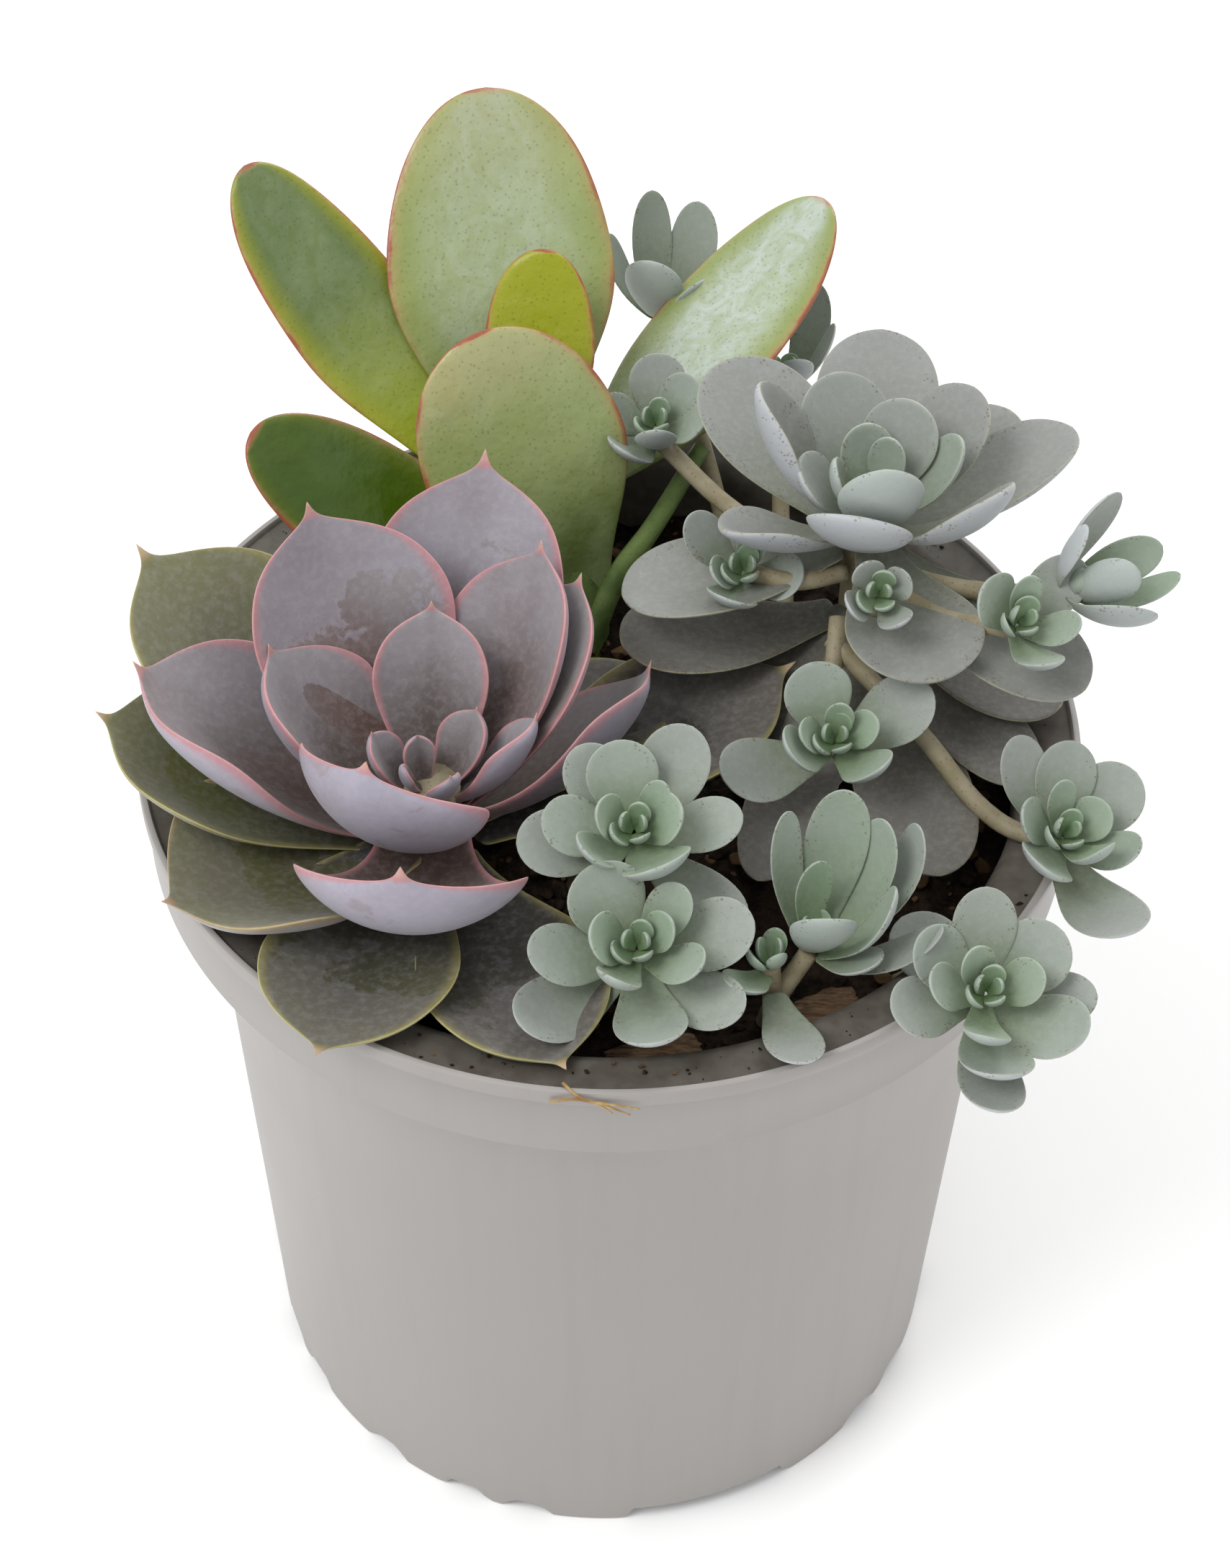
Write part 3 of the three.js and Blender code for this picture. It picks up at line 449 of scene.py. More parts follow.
def stonecrop_finish():
    f = Finish("stonecrop_skin", roughness=0.55, specular=0.3, sheen=0.06)
    side, along, face, age = f.mark("side"), f.mark("along"), f.mark("face"), f.mark("age")
    blotch = f.noise(110, 3)
    fine = f.noise(1100, 3, 0.65)
    # Upper face: fresh green when young, grey green later, grey mauve when old.
    fresh = f.mix(f.step(along, 0.1, 0.9), srgb(112, 142, 92), srgb(160, 186, 152))
    young = f.mix(f.step(along, 0.1, 0.8), srgb(136, 156, 122), srgb(180, 192, 180))
    young = f.mix(f.mark("bloom"), young, fresh)
    grown = f.mix(f.step(along, 0.2, 0.9), srgb(124, 130, 112), srgb(156, 159, 154))
    old = f.mix(f.step(along, 0.2, 0.9), srgb(98, 96, 84), srgb(118, 114, 106))
    upper = f.mix(f.step(age, 0.0, 0.5), young, grown)
    upper = f.mix(f.step(age, 0.55, 1.0), upper, old)
    back = f.mix(f.step(age, 0.45, 1.0), srgb(198, 202, 206), srgb(136, 130, 132))
    back = f.mix(f.step(along, 0.5, 0.0), back, srgb(140, 150, 116))
    back = f.mix(f.sum("MULTIPLY", f.mark("bloom"), 0.7), back, srgb(150, 172, 142))
    base = f.mix(f.step(face, -0.15, 0.15), back, upper)
    base = f.mix(f.step(blotch, 0.4, 0.75, 0, 0.16), base, srgb(186, 190, 188))
    # A thin pale margin, and red-brown specks that crowd towards it.
    rim = f.sum("MAXIMUM", side, f.step(along, 0.94, 1.0))
    line = f.step(rim, 0.965, 0.995, 0, 0.5)
    base = f.mix(line, base, f.mix(f.step(age, 0.0, 0.6), srgb(206, 212, 190), srgb(176, 176, 120)))
    crowd = f.step(rim, 0.45, 0.98, 0.12, 0.34)
    speck = f.sum("LESS_THAN", f.dots(1700), crowd)
    pick = f.step(f.noise(500, 2), 0.45, 0.6)
    base = f.mix(f.sum("MULTIPLY", f.sum("MULTIPLY", speck, pick), 0.55), base, srgb(116, 88, 66))
    base = f.mix(f.step(fine, 0.4, 0.7, 0, 0.1), base, srgb(216, 220, 218))
    normal = f.bump(fine, 0.12, 0.0003)
    normal = f.bump(f.noise(240, 4), 0.12, 0.001, normal)
    return f.finish(base, f.step(blotch, 0.3, 0.7, 0.5, 0.62), normal)


def stem_finish(name, pale, dark, speck_colour):
    f = Finish(name, roughness=0.6, specular=0.3)
    base = f.mix(f.step(f.noise(180, 4), 0.35, 0.7), pale, dark)
    speck = f.step(f.dots(1300), 0.12, 0.3, 1, 0)
    base = f.mix(f.sum("MULTIPLY", speck, 0.6), base, speck_colour)
    normal = f.bump(f.noise(700, 4), 0.3, 0.0005)
    return f.finish(base, None, normal)


def pot_finish():
    f = Finish("pot_plastic", roughness=0.45, specular=0.4)
    cloud = f.noise(16, 3)
    base = f.mix(f.step(cloud, 0.3, 0.7), srgb(172, 167, 163), srgb(177, 172, 168))
    streak = f.noise(1, 4, 0.6, place=f.stretch((260, 260, 9)))
    base = f.mix(f.step(streak, 0.45, 0.75, 0, 0.14), base, srgb(156, 151, 146))
    scuff = f.step(f.noise(260, 6, 0.7), 0.68, 0.74, 0, 0.35)
    base = f.mix(scuff, base, srgb(196, 192, 187))
    # Soil dust lies on the ledge, and painted shade darkens the inside wall above the soil, both in dark soil
    # brown.
    base = f.mix(f.mark("dust_and_shade"), base, f.mix(f.step(f.noise(420, 5), 0.35, 0.65), srgb(92, 87, 76),
                                             srgb(72, 62, 50)))
    normal = f.bump(f.noise(900, 3), 0.05, 0.0003)
    normal = f.bump(streak, 0.05, 0.0005, normal)
    return f.finish(base, f.step(cloud, 0.3, 0.7, 0.4, 0.5), normal)


def soil_finish():
    f = Finish("potting_soil", roughness=0.95, specular=0.15)
    grain = f.noise(500, 6, 0.7)
    base = f.mix(f.step(grain, 0.35, 0.7), srgb(24, 19, 15), srgb(66, 52, 40))
    tint = f.mark("tint")
    base = f.mix(f.step(tint, 0.55, 1.0), base, srgb(124, 96, 66))
    normal = f.bump(grain, 0.9, 0.001)
    return f.finish(base, None, normal)


def bark_finish():
    f = Finish("bark", roughness=0.9, specular=0.2)
    grain = f.noise(1, 6, 0.65, 0.4, place=f.stretch((240, 1400, 900), (0, 0, math.radians(12))))
    base = f.mix(f.step(grain, 0.3, 0.7), srgb(84, 62, 44), srgb(164, 134, 104))
    normal = f.bump(grain, 0.8, 0.001)
    return f.finish(base, None, normal)


def straw_finish():
    f = Finish("straw", roughness=0.6, specular=0.3)
    base = f.mix(f.step(f.noise(400, 4), 0.35, 0.7), srgb(206, 178, 126), srgb(160, 122, 76))
    return f.finish(base)


FINISH = {
    "echeveria": echeveria_finish(),
    "jade": jade_finish(),
    "stonecrop": stonecrop_finish(),
    "offset_stem": stem_finish("stonecrop_stem", srgb(176, 166, 138), srgb(150, 140, 108),
                               srgb(150, 104, 74)),
    "jade_stem": stem_finish("jade_stem_skin", srgb(112, 134, 70), srgb(84, 108, 48), srgb(92, 96, 48)),
    "pot": pot_finish(),
    "soil": soil_finish(),
    "bark": bark_finish(),
    "straw": straw_finish(),
}

# ---- Mesh helpers --------------------------------------------------------------------------------


def alone(piece):
    """Leaves only this piece selected and active."""
    bpy.ops.object.select_all(action="DESELECT")
    piece.select_set(True)
    bpy.context.view_layer.objects.active = piece


def choose(piece, test):
    """In edit mode, selects the vertices whose place passes the test."""
    cage = bmesh.from_edit_mesh(piece.data)
    bpy.ops.mesh.select_all(action="DESELECT")
    for vertex in cage.verts:
        vertex.select_set(test(vertex.co))
    cage.select_flush_mode()
    bmesh.update_edit_mesh(piece.data)


def apply(piece, kind, **settings):
    alone(piece)
    modifier = piece.modifiers.new(kind.lower(), kind)
    for key, value in settings.items():
        setattr(modifier, key, value)
    bpy.ops.object.modifier_apply(modifier=modifier.name)


def bend(piece, axis, degrees):
    if degrees:
        apply(piece, "SIMPLE_DEFORM", deform_method="BEND", deform_axis=axis, angle=math.radians(degrees))


def place(piece, matrix):
    alone(piece)
    piece.matrix_world = matrix
    bpy.ops.object.transform_apply(location=True, rotation=True, scale=True)


def copy_of(master, name):
    piece = master.copy()
    piece.data = master.data.copy()
    piece.name = piece.data.name = name
    bpy.context.collection.objects.link(piece)
    return piece


def paint(piece, finish):
    piece.data.materials.clear()
    piece.data.materials.append(FINISH[finish])


def smooth(piece):
    alone(piece)
    bpy.ops.object.shade_smooth()


def write_mark(piece, name, values):
    """A number on every vertex, for the finishes to read."""
    layer = piece.data.attributes.get(name) or piece.data.attributes.new(name, "FLOAT", "POINT")
    if not isinstance(values, (list, tuple)):
        values = [values] * len(piece.data.vertices)
    layer.data.foreach_set("value", values)


def join(pieces, name):
    bpy.ops.object.select_all(action="DESELECT")
    for piece in pieces:
        piece.select_set(True)
    bpy.context.view_layer.objects.active = pieces[0]
    if len(pieces) > 1:
        bpy.ops.object.join()
    whole = bpy.context.object
    whole.name = whole.data.name = name
    return whole


def stands_for(piece, node):
    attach(piece, "root")
    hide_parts(node)


# ---- Leaves --------------------------------------------------------------------------------------


def outline(kind, along):
    """Half width along a leaf, as a share of its widest half width."""
    if along > kind["widest"]:
        past = (along - kind["widest"]) / (1 - kind["widest"])
        return max(0, 1 - past ** kind["blunt"]) ** (1 / kind["blunt"])
    share = along / kind["widest"]
    rise = share * share * (3 - 2 * share)
    return kind["stalk"] + (1 - kind["stalk"]) * rise


def nib(kind, along):
    """Draws the last of a pointed leaf in, so that its tip ends in a fine point."""
    near = min(1, max(0, (along - 0.9) / 0.09))
    return 1 - (0.72 if kind["point"] > 0.02 else 0) * near


def leaf_blank(name):
    """A straight leaf one unit long up +Z and one wide along X, with its upper face towards +Y."""
    kind = KINDS[name]
    bpy.ops.object.select_all(action="DESELECT")
    bpy.ops.mesh.primitive_uv_sphere_add(
        segments=kind["segments"], ring_count=kind["rings"], radius=0.5, location=(0, 0, 0.5))
    blank = bpy.context.object
    bpy.ops.object.transform_apply(location=True, rotation=True, scale=True)
    blank.name = name + "_blank"
    side, along, face = [], [], []
    for vertex in blank.data.vertices:
        x, y, z = vertex.co
        ring = math.hypot(x, y)
        side.append(abs(x) / ring if ring > 1e-5 else 0.0)
        face.append(y / ring if ring > 1e-5 else 0.0)
        along.append(z)
    for mark, values in (("side", side), ("face", face), ("along", along)):
        write_mark(blank, mark, values)
    # Each ring takes the leaf's width and thickness there.
    bpy.ops.object.mode_set(mode="EDIT")
    heights = sorted({round(z, 4) for z in along})[1:-1]
    for height in heights:
        share = outline(kind, height) * nib(kind, height)
        ring = math.sqrt(height * (1 - height))
        choose(blank, lambda place: abs(place.z - height) < 1e-3)
        bpy.ops.transform.resize(value=(share * 0.5 / ring, math.sqrt(share) * 0.5 / ring, 1))
    # The upper face is flatter than the back.
    choose(blank, lambda place: place.y > 1e-4)
    bpy.ops.transform.resize(value=(1, kind["flat"], 1), center_override=(0, 0, 0))
    if kind["point"]:
        choose(blank, lambda place: place.z > 0.9999)
        bpy.ops.transform.translate(value=(0, 0, kind["point"]))
    bpy.ops.object.mode_set(mode="OBJECT")
    return blank


def grow_leaf(name, kind_name, azimuth, reach, lift, width, curl, turn=0, cup=None, age=0.0, bloom=0.0,
              levels=1):
    """A leaf from the Z axis at the origin towards azimuth, its tip at reach and lift, in metres."""
    kind = KINDS[kind_name]
    foot = Vector((0, reach * FOOT_OUT, -reach * FOOT_DOWN)) * MM
    span = Vector((0, reach * MM, lift * MM)) - foot
    half = math.radians(curl) / 2
    length = span.length * half / math.sin(half) if half else span.length
    rise = math.atan2(span.z, span.y) - half
    leaf = copy_of(BLANKS[kind_name], name)
    thick = kind["thick"] * min(1, (0.4 + width / 25))
    place(leaf, Matrix.Diagonal((width * MM, thick * MM, length, 1)))
    # A slow swell makes no two leaves alike.
    seed = rng.uniform(0, 100)
    for vertex in leaf.data.vertices:
        spot = Vector((vertex.co.x, vertex.co.z, 0)) * 55 + Vector((0, 0, seed))
        vertex.co.y += noise.noise(spot) * kind["wave"] * MM
        vertex.co.x += noise.noise(spot + Vector((9, 4, 2))) * kind["wave"] * 0.6 * MM
    bend(leaf, "Z", kind["cup"] if cup is None else cup)
    bend(leaf, "X", curl)
    if levels:
        apply(leaf, "SUBSURF", levels=levels, render_levels=levels)
    lay = Matrix(((-1, 0, 0, 0), (0, 0, 1, 0), (0, 1, 0, 0), (0, 0, 0, 1)))
    turn_about = Matrix.Rotation(math.radians(turn), 4, "Y")
    raised = Matrix.Rotation(rise, 4, "X")
    round_about = Matrix.Rotation(math.radians(azimuth - 90), 4, "Z")
    place(leaf, round_about @ Matrix.Translation(foot) @ raised @ turn_about @ lay)
    write_mark(leaf, "age", age)
    write_mark(leaf, "bloom", bloom)
    write_mark(leaf, "tint", rng.random())
    return leaf


def crown_place(at, lean=(0, 0)):
    towards = math.radians(lean[0])
    axis = Vector((-math.sin(towards), math.cos(towards), 0))
    return Matrix.Translation(Vector(at) * MM) @ Matrix.Rotation(math.radians(lean[1]), 4, axis)


def stem(name, route, radius, finish, taper=1.0):
    """A round stem through the points, narrowing to taper of its radius."""
    bpy.ops.object.select_all(action="DESELECT")
    curve = bpy.data.curves.new(name, "CURVE")
    curve.dimensions = "3D"
    curve.bevel_depth = radius
    curve.bevel_resolution = 4
    curve.resolution_u = 8
    curve.use_fill_caps = True
    line = curve.splines.new("BEZIER")
    line.bezier_points.add(len(route) - 1)
    for i, (knot, spot) in enumerate(zip(line.bezier_points, route)):
        knot.co = Vector(spot) * MM
        knot.handle_left_type = knot.handle_right_type = "AUTO"
        knot.radius = 1 + (taper - 1) * i / (len(route) - 1)
    piece = bpy.data.objects.new(name, curve)
    bpy.context.collection.objects.link(piece)
    alone(piece)
    bpy.ops.object.convert(target="MESH")
    piece = bpy.context.object
    bpy.ops.object.mode_set(mode="EDIT")
    bpy.ops.mesh.select_all(action="SELECT")
    bpy.ops.mesh.remove_doubles(threshold=1e-6)
    bpy.ops.mesh.normals_make_consistent(inside=False)
    bpy.ops.object.mode_set(mode="OBJECT")
    smooth(piece)
    paint(piece, finish)
    return piece


BLANKS = {name: leaf_blank(name) for name in KINDS}


def rosette(prefix, kind, finish, crown, leaves, ages):
    for name, row in leaves.items():
        age, bloom = ages[name]
        leaf = grow_leaf(prefix + name + "_skin", kind, *row, age=age, bloom=bloom, levels=2)
        place(leaf, crown_place(crown))
        smooth(leaf)
        paint(leaf, finish)
        stands_for(leaf, prefix + name)


def echeveria():
    ages = {name: (age, 1.0 if name in ("back_left", "back") else 0.3) for name, age in ECHEVERIA_AGE.items()}
    rosette("echeveria_leaf_", "echeveria", "echeveria", ECHEVERIA_CROWN, ECHEVERIA, ages)
    bud = [grow_leaf("bud", "echeveria", *row, age=0.0, levels=1) for row in ECHEVERIA_BUD]
    for leaf in bud:
        place(leaf, crown_place(ECHEVERIA_CROWN))
        smooth(leaf)
        paint(leaf, "echeveria")
    x, y, z = ECHEVERIA_CROWN
    bud.append(stem("core", [(x, y, BURIED), (x, y, 120), (x, y, z)], ECHEVERIA_STEM_RADIUS, "offset_stem"))
    whole = join(bud, "echeveria_heart")
    stands_for(whole, "echeveria_crown")


def jade():
    # Each leaf's age and bloom.
    ages = {"left": (0.15, 0.8), "right": (0.45, 0.0), "back": (0.5, 0.1), "bright": (1.0, 0.3),
            "front": (0.55, 0.0), "low_left": (0.0, 0.2)}
    rosette("jade_leaf_", "jade", "jade", JADE_UPPER, JADE_UPPER_LEAVES, ages)
    rosette("jade_leaf_", "jade", "jade", JADE_LOWER, JADE_LOWER_LEAVES, ages)
    # Each leaf's share of painted sheen, a painted reflection of the studio light.
    for name, painted_sheen in JADE_PAINTED_SHEEN.items():
        write_mark(bpy.data.objects["jade_leaf_" + name + "_skin"], "painted_sheen", painted_sheen)
    trunk = stem("trunk", JADE_STEM, JADE_STEM_RADIUS, "jade_stem", 0.8)
    branch = stem("branch", JADE_BRANCH, JADE_BRANCH_RADIUS, "jade_stem", 0.7)
    stands_for(join([trunk, branch], "jade_trunk"), "jade_stem")


def stonecrop():
    # Each leaf's age and bloom.
    ages = {name: (0.5, 0.0) for name in STONECROP}
    for name in ("inner_back_right", "inner_left", "front", "inner_back_left"):
        ages[name] = (0.3, 0.0)
    for name in ("under_back_right", "lower_right", "lower_left", "lower_front"):
        ages[name] = (0.7, 0.0)
    rosette("stonecrop_leaf_", "stonecrop", "stonecrop", STONECROP_CROWN, STONECROP, ages)
    bud = [grow_leaf("bud", "stonecrop", *row, cup=80, age=0.25, bloom=0.5, levels=1)
           for row in STONECROP_BUD]
    for leaf in bud:
        place(leaf, crown_place(STONECROP_CROWN))
    old = [grow_leaf("old", "stonecrop", *row, age=1.0, levels=1) for row in STONECROP_OLD]
    for leaf in old:
        place(leaf, crown_place(STONECROP_OLD_CROWN))
    bud += old
    for leaf in bud:
        smooth(leaf)
        paint(leaf, "stonecrop")
    x, y, z = STONECROP_CROWN
    bud.append(stem("core", [(x, y, BURIED), (x, y, 130), (x, y, z)], STONECROP_STEM_RADIUS, "offset_stem"))
    whole = join(bud, "stonecrop_heart")
    stands_for(whole, "stonecrop_crown")


def offset_pieces(offset):
    pieces = []
    at = crown_place(offset["at"], offset["lean"])
    farthest = max(row[1] for row in offset["leaves"])
    for azimuth, reach, lift, width in offset["leaves"]:
        far = reach / farthest
        under = max(0, math.cos(math.radians(azimuth - offset["lean"][0])))
        leaf = grow_leaf(
            "leaf", "offset", azimuth, reach * (1 + 0.1 * under), lift + OFFSET_RISE * under,
            width * OFFSET_FULLNESS, OFFSET_CURL + OFFSET_RISE_CURL * under + rng.uniform(-8, 8),
            cup=95 - 45 * far, age=0.3 * far, bloom=1 - far)
        place(leaf, at)
        smooth(leaf)
        paint(leaf, "stonecrop")
        pieces.append(leaf)
    for i in range(5):
        leaf = grow_leaf("leaf", "offset", 137.5 * i + 20, 1 + 0.55 * i, 3.6 - 0.1 * i, 2.2 + 0.5 * i, 80,
                         cup=100, age=0.0, bloom=1.0)
        place(leaf, at)
        smooth(leaf)
        paint(leaf, "stonecrop")
        pieces.append(leaf)
    pieces.append(stem("stalk", offset["stem"], OFFSET_STEM_RADIUS, "offset_stem"))
    if "sprout" in offset:
        pieces += offset_pieces(offset["sprout"])
    return pieces


def offsets():
    for name, offset in OFFSETS.items():
        whole = join(offset_pieces(offset), "rosette_" + name)
        stands_for(whole, "stonecrop_offset_" + name)


# ---- Pot -----------------------------------------------------------------------------------------


def inner_radius(height):
    share = height / (POT_HEIGHT - LIP_HEIGHT)
    return BODY_BASE_RADIUS + (BODY_TOP_RADIUS - BODY_BASE_RADIUS) * share - WALL


def pot():
    """The folded shell: its section is spun round Z, then the foot ring is lifted into its arches."""
    ledge = POT_HEIGHT - LEDGE_DROP
    under = ledge - WALL
    skirt = LIP_RADIUS - LIP_STAND
    foot = POT_HEIGHT - SKIRT_DROP
    base = BODY_BASE_RADIUS
    outer = [(base + (BODY_TOP_RADIUS - base) * z / under, z) for z in (3 * MM, 9 * MM, 40 * MM, 80 * MM)]
    section = [
        (0, 0), (FLOOR_FLAT_RADIUS, 0), (FLOOR_FLAT_RADIUS + 1.5 * MM, CHANNEL_HEIGHT),
        (base - WALL - 0.3 * MM, CHANNEL_HEIGHT), (base - WALL, CHANNEL_HEIGHT - 0.3 * MM),
        (base - WALL, 0.3 * MM), (base - WALL + 0.3 * MM, 0), (base - 0.3 * MM, 0), (base, 0.3 * MM),
    ] + outer + [
        (BODY_TOP_RADIUS, under - 2 * MM), (BODY_TOP_RADIUS + 1.5 * MM, under - 0.2 * MM),
        (skirt - WALL - 0.8 * MM, under), (skirt - WALL, under - 0.8 * MM),
        (skirt - WALL, foot + 0.2 * MM), (skirt - WALL + 0.2 * MM, foot),
        (skirt - 0.2 * MM, foot), (skirt, foot + 0.2 * MM),
        (skirt, POT_HEIGHT - LIP_HEIGHT - 0.2 * MM), (skirt + 0.15 * MM, POT_HEIGHT - LIP_HEIGHT),
        (LIP_RADIUS - 0.1 * MM, POT_HEIGHT - LIP_HEIGHT + 0.5 * MM),
        (LIP_RADIUS, POT_HEIGHT - LIP_HEIGHT + 0.8 * MM),
        (LIP_RADIUS, POT_HEIGHT - 0.5 * MM), (LIP_RADIUS - 0.15 * MM, POT_HEIGHT - 0.15 * MM),
        (LIP_RADIUS - 0.5 * MM, POT_HEIGHT), (LIP_RADIUS - 0.9 * MM, POT_HEIGHT - 0.1 * MM),
        (LIP_RADIUS - 1.2 * MM, ledge + 0.2 * MM), (LIP_RADIUS - 1.5 * MM, ledge),
        (inner_radius(POT_HEIGHT) + 2.4 * MM, ledge - 0.3 * MM),
        (inner_radius(POT_HEIGHT) + 1.2 * MM, ledge - 0.8 * MM),
        (inner_radius(POT_HEIGHT) + 0.3 * MM, ledge - 2.2 * MM),
        (inner_radius(POT_HEIGHT), ledge - 4 * MM),
        (inner_radius(60 * MM), 60 * MM),
        (inner_radius(CHANNEL_HEIGHT + WALL), CHANNEL_HEIGHT + WALL),
        (FLOOR_FLAT_RADIUS + 1.5 * MM - WALL, CHANNEL_HEIGHT + WALL),
        (FLOOR_FLAT_RADIUS - WALL, WALL), (0, WALL),
    ]
    mesh = bpy.data.meshes.new("pot_shell")
    mesh.from_pydata([(radius, 0, height) for radius, height in section],
                     [(i, i + 1) for i in range(len(section) - 1)], [])
    piece = bpy.data.objects.new("pot_shell", mesh)
    bpy.context.collection.objects.link(piece)
    alone(piece)
    bpy.ops.object.mode_set(mode="EDIT")
    bpy.ops.mesh.select_all(action="SELECT")
    bpy.ops.mesh.spin(steps=POT_STEPS, angle=math.tau, center=(0, 0, 0), axis=(0, 0, 1))
    bpy.ops.mesh.select_all(action="SELECT")
    bpy.ops.mesh.remove_doubles(threshold=1e-6)
    bpy.ops.mesh.normals_make_consistent(inside=False)
    bpy.ops.object.mode_set(mode="OBJECT")
    for vertex in piece.data.vertices:
        x, y, z = vertex.co
        if z > 0.5 * MM or math.hypot(x, y) < base - 2 * WALL:
            continue
        azimuth = math.degrees(math.atan2(y, x))
        for centre, width, height in ARCHES + NOTCHES:
            off = abs((azimuth - centre + 180) % 360 - 180) * math.pi / 180 * base
            slope = 0.16 * width if width > 10 * MM else 0.4 * width
            share = min(1, max(0, (width / 2 - off) / slope + 0.5))
            vertex.co.z += height * share * share * (3 - 2 * share)
    # The ledge and the inside wall take one mark: real soil dust on the ledge, painted shade on the wall.
    dust_and_shade = []
    for vertex in piece.data.vertices:
        x, y, z = vertex.co
        radius = math.hypot(x, y)
        within = FLOOR_FLAT_RADIUS < radius < LIP_RADIUS - 1.1 * MM
        inside = within and z > CHANNEL_HEIGHT + 10 * MM
        shell = radius > inner_radius(z) + 0.6 * WALL and z < ledge - 1 * MM
        dust_and_shade.append(0.85 if inside and not shell else 0.0)
    write_mark(piece, "dust_and_shade", dust_and_shade)
    alone(piece)
    bpy.ops.object.shade_smooth_by_angle(angle=math.radians(40))
    paint(piece, "pot")
    stands_for(piece, "pot")


# ---- Soil, bark and straw ------------------------------------------------------------------------


def soil_height(x, y):
    broad = math.sin(x / MM * 0.21 + 1) * math.cos(y / MM * 0.17)
    lump = broad + 0.6 * math.sin(x / MM * 0.47 - y / MM * 0.39)
    return SOIL_TOP + lump * SOIL_LUMP


def soil():
    """A disc drawn in ring by ring, closed below, then given its lumps."""
    bpy.ops.object.select_all(action="DESELECT")
    bpy.ops.mesh.primitive_circle_add(vertices=SOIL_SEGMENTS, radius=SOIL_RADIUS, location=(0, 0, SOIL_TOP))
    piece = bpy.context.object
    bpy.ops.object.transform_apply(location=True, rotation=True, scale=True)
    bpy.ops.object.mode_set(mode="EDIT")
    for ring in range(SOIL_RINGS - 1, 0, -1):
        bpy.ops.mesh.extrude_region_move()
        bpy.ops.transform.resize(value=(ring / (ring + 1), ring / (ring + 1), 1))
    bpy.ops.mesh.edge_face_add()
    choose(piece, lambda spot: math.hypot(spot.x, spot.y) > SOIL_RADIUS - 1e-5)
    bpy.ops.mesh.extrude_region_move(TRANSFORM_OT_translate={"value": (0, 0, -SOIL_THICKNESS)})
    bpy.ops.mesh.edge_face_add()
    bpy.ops.mesh.select_all(action="SELECT")
    bpy.ops.mesh.normals_make_consistent(inside=False)
    bpy.ops.object.mode_set(mode="OBJECT")
    for vertex in piece.data.vertices:
        x, y, z = vertex.co
        if z > SOIL_TOP - MM:
            grit = noise.noise(Vector((x, y, 0)) * 500) * 0.9 + noise.noise(Vector((x, y, 3)) * 1300) * 0.5
            vertex.co.z = soil_height(x, y) + grit * MM
    write_mark(piece, "tint", 0.0)
    smooth(piece)
    paint(piece, "soil")
    return piece


def crumb_blanks():
    blanks = []
    for i in range(4):
        bpy.ops.object.select_all(action="DESELECT")
        bpy.ops.mesh.primitive_ico_sphere_add(subdivisions=1, radius=0.5)
        blank = bpy.context.object
        bpy.ops.object.mode_set(mode="EDIT")
        bpy.ops.transform.resize(value=(1.3, 0.9, 0.65))
        bpy.ops.transform.vertex_random(offset=0.16, seed=i + 1)
        bpy.ops.object.mode_set(mode="OBJECT")
        blanks.append(blank)
    return blanks


def scatter(blanks, count, radii, sizes, height, lift):
    pieces = []
    for i in range(count):
        radius = math.sqrt(rng.uniform(radii[0] ** 2, radii[1] ** 2))
        azimuth = rng.uniform(0, math.tau)
        x, y = radius * math.cos(azimuth), radius * math.sin(azimuth)
        size = sizes[0] + (sizes[1] - sizes[0]) * rng.random() ** 3
        piece = copy_of(blanks[i % len(blanks)], "crumb")
        heading = Matrix.Rotation(rng.uniform(0, math.tau), 4, "Z")
        turn = heading @ Matrix.Rotation(rng.uniform(-0.6, 0.6), 4, "X")
        spot = Vector((x, y, height(x, y) + lift * size))
        piece.data.transform(Matrix.Translation(spot) @ turn @ Matrix.Scale(size, 4))
        write_mark(piece, "tint", rng.random())
        pieces.append(piece)
    return pieces


def bark_chip(name, node):
    """A flake of bark: a block that is cut up, roughened and thinned to its ends, in its node's box."""
    low, high = (Vector(corner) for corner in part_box(node))
    bpy.ops.object.select_all(action="DESELECT")
    bpy.ops.mesh.primitive_cube_add(size=1)
    piece = bpy.context.object
    bpy.ops.object.mode_set(mode="EDIT")
    bpy.ops.mesh.subdivide(number_cuts=9)
    bpy.ops.object.mode_set(mode="OBJECT")
    size = high - low
    for vertex in piece.data.vertices:
        x, y, z = vertex.co
        taper = 1 - 0.9 * abs(x) ** 1.6
        fibre = noise.noise(Vector((x * 3, y * 12, z * 9 + low.x * 900)))
        rough = noise.noise(Vector((x * 7, y * 7, z * 7 + low.y * 700)))
        vertex.co.y = y * taper + fibre * 0.1
        vertex.co.z = z * (0.6 + 0.4 * taper) + fibre * 0.16 + rough * 0.1
        vertex.co.x = x + rough * 0.05
    turn = Matrix.Rotation(math.atan2(size.y * 0.5, size.x), 4, "Z")
    place(piece, Matrix.Translation((low + high) / 2) @ turn @
          Matrix.Diagonal((size.x * 0.95, size.y * 0.62, size.z, 1)))
    smooth(piece)
    paint(piece, "bark")
    piece.name = piece.data.name = name
    stands_for(piece, node)


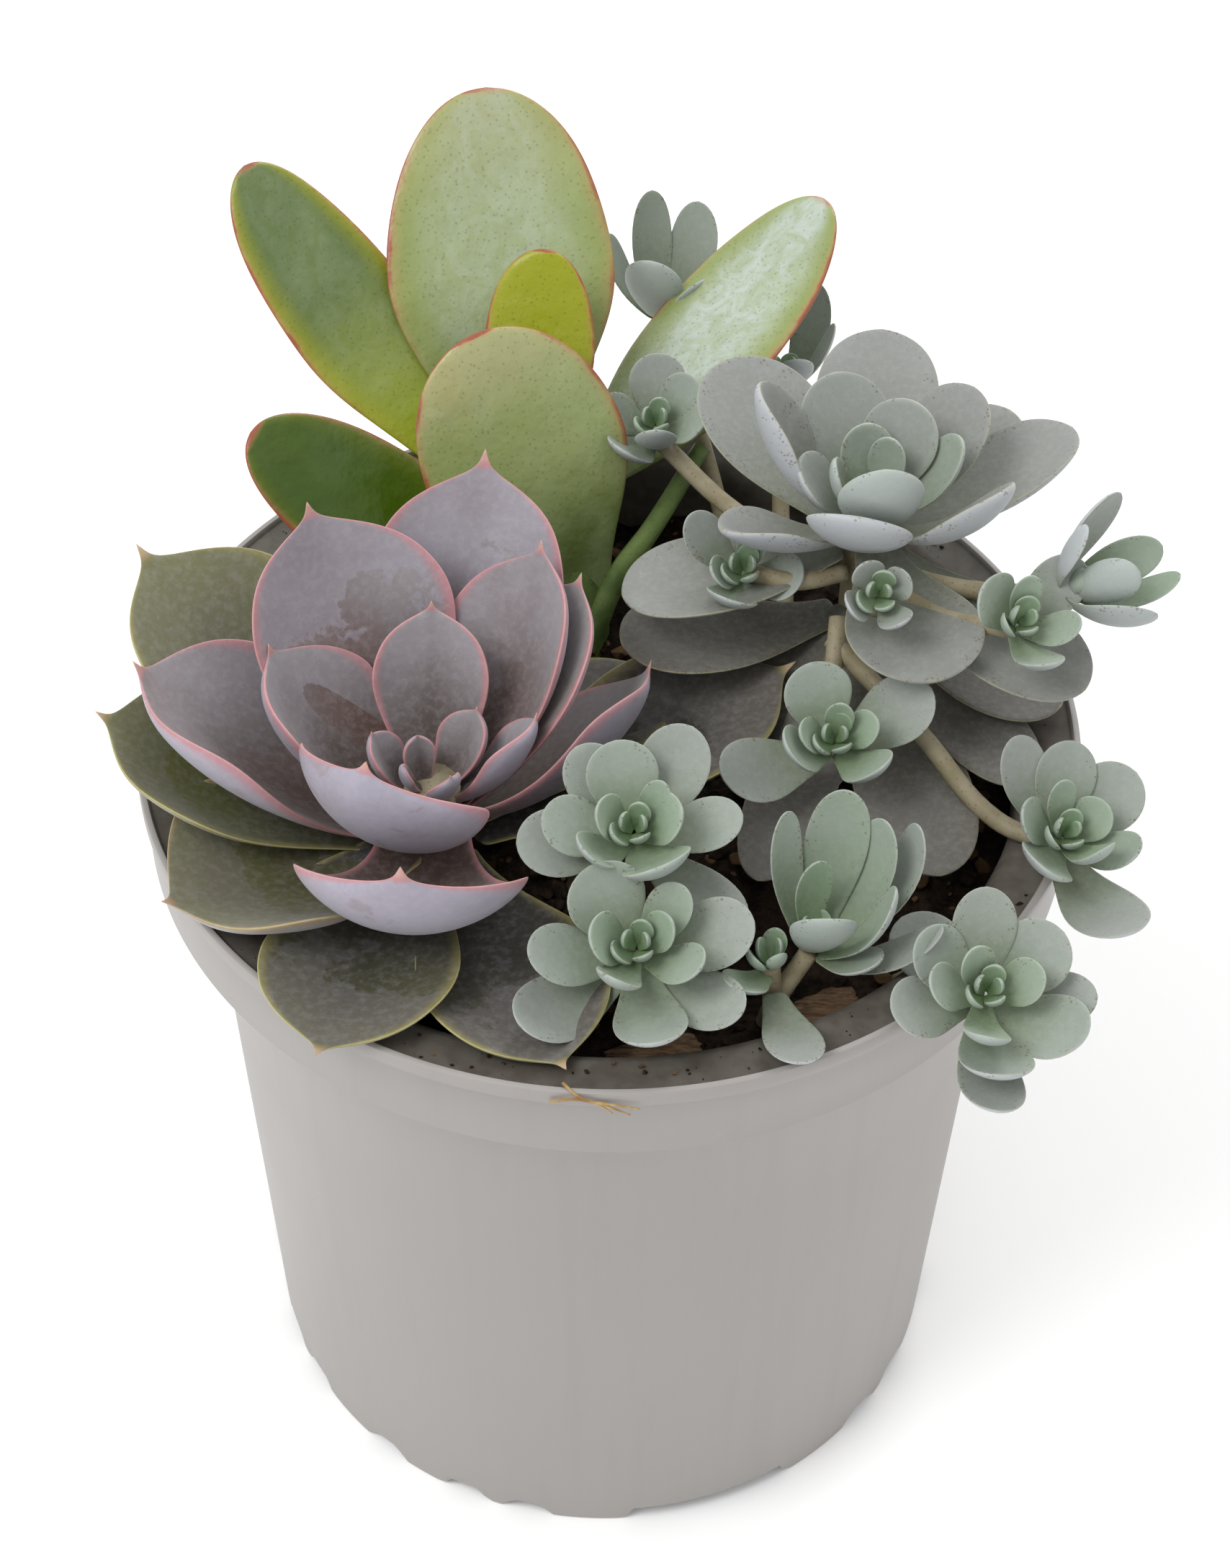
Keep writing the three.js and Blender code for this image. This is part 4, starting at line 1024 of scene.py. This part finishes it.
def straw():
    """A few dry fibres that hang over the lip at the front."""
    out = LIP_RADIUS / MM
    top = POT_HEIGHT / MM
    routes = [
        [(-5, -out + 1.5, top + 0.3), (-3, -out - 0.2, top - 0.2), (0, -out - 0.5, top - 1.4),
         (3.4, -out - 0.5, top - 3.4)],
        [(-6.5, -out - 0.1, top - 1.4), (-3.5, -out - 0.4, top - 0.5), (-0.5, -out - 0.4, top - 1.6),
         (1.2, -out - 0.5, top - 3.2)],
        [(-1.5, -out - 0.4, top - 1), (1.8, -out - 0.5, top - 1.5), (4.5, -out - 0.4, top - 2.3)],
    ]
    fibres = [stem("fibre", route, 0.22 * MM, "straw", 0.5) for route in routes]
    whole = join(fibres, "straw_fibre")
    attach(whole, "root")


def ground():
    surface = soil()
    blanks = crumb_blanks()
    count = CRUMBS
    crumbs = scatter(blanks, count, (0, SOIL_RADIUS - MM), (0.5 * MM, 3.2 * MM), soil_height, 0.25)
    ledge = POT_HEIGHT - LEDGE_DROP
    crumbs += scatter(blanks, LEDGE_CRUMBS, (inner_radius(POT_HEIGHT) + 2.6 * MM, LIP_RADIUS - 1.6 * MM),
                      (0.15 * MM, 0.7 * MM), lambda x, y: ledge - 0.15 * MM, 0.3)
    for crumb in crumbs:
        paint(crumb, "soil")
    for blank in blanks:
        bpy.data.objects.remove(blank)
    loose = join(crumbs, "soil_crumbs")
    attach(loose, "root")
    surface.name = surface.data.name = "soil_surface"
    stands_for(surface, "soil")
    bark_chip("bark_flake_front", "bark_chip_front")
    bark_chip("bark_flake_right", "bark_chip_right")
    straw()


# ---- Studio --------------------------------------------------------------------------------------

ELEVATION = math.radians(46.6)
TARGET = Vector((0.9, 0, 110.8)) * MM
DISTANCE = 410.5 * MM
ROLL = math.radians(0.87)
LENS = 66.6


def camera():
    view = bpy.data.cameras.new("camera")
    view.lens = LENS
    view.sensor_width = 36
    view.clip_start = 0.01
    eye = bpy.data.objects.new("camera", view)
    bpy.context.collection.objects.link(eye)
    back = Vector((0, -math.cos(ELEVATION), math.sin(ELEVATION)))
    aim = Matrix.Rotation(math.pi / 2 - ELEVATION, 4, "X") @ Matrix.Rotation(ROLL, 4, "Z")
    eye.matrix_world = Matrix.Translation(TARGET + back * DISTANCE) @ aim
    bpy.context.scene.camera = eye


def lamp(name, spot, size, power, aim=(0, 0, 0.12)):
    light = bpy.data.lights.new(name, "AREA")
    light.shape = "DISK"
    light.size = size
    light.energy = power
    piece = bpy.data.objects.new(name, light)
    bpy.context.collection.objects.link(piece)
    piece.matrix_world = (Matrix.Translation(spot) @
                          (Vector(aim) - Vector(spot)).to_track_quat("-Z", "Y").to_matrix().to_4x4())


def studio():
    bpy.ops.object.select_all(action="DESELECT")
    bpy.ops.mesh.primitive_plane_add(size=6, location=(0, 0, 0))
    floor = bpy.context.object
    floor.name = "floor"
    f = Finish("floor_white", roughness=0.9, specular=0.1)
    f.finish(f.mix(f.step(f.noise(3, 2), 0.3, 0.7), (0.9, 0.9, 0.9, 1), (0.94, 0.94, 0.94, 1)))
    floor.data.materials.append(f.material)
    world = bpy.data.worlds.new("studio")
    world.use_nodes = True
    world.node_tree.nodes["Background"].inputs["Color"].default_value = (1, 1, 1, 1)
    world.node_tree.nodes["Background"].inputs["Strength"].default_value = 0.95
    bpy.context.scene.world = world
    lamp("key", (-0.9, -0.5, 1.5), 0.9, 16)
    lamp("back", (0.5, 1.2, 1.1), 0.9, 10)
    bpy.context.scene.view_settings.view_transform = "Standard"
    bpy.context.scene.view_settings.look = "None"


camera()
studio()
pot()
ground()
echeveria()
jade()
stonecrop()
offsets()
for blank in BLANKS.values():
    bpy.data.objects.remove(blank)
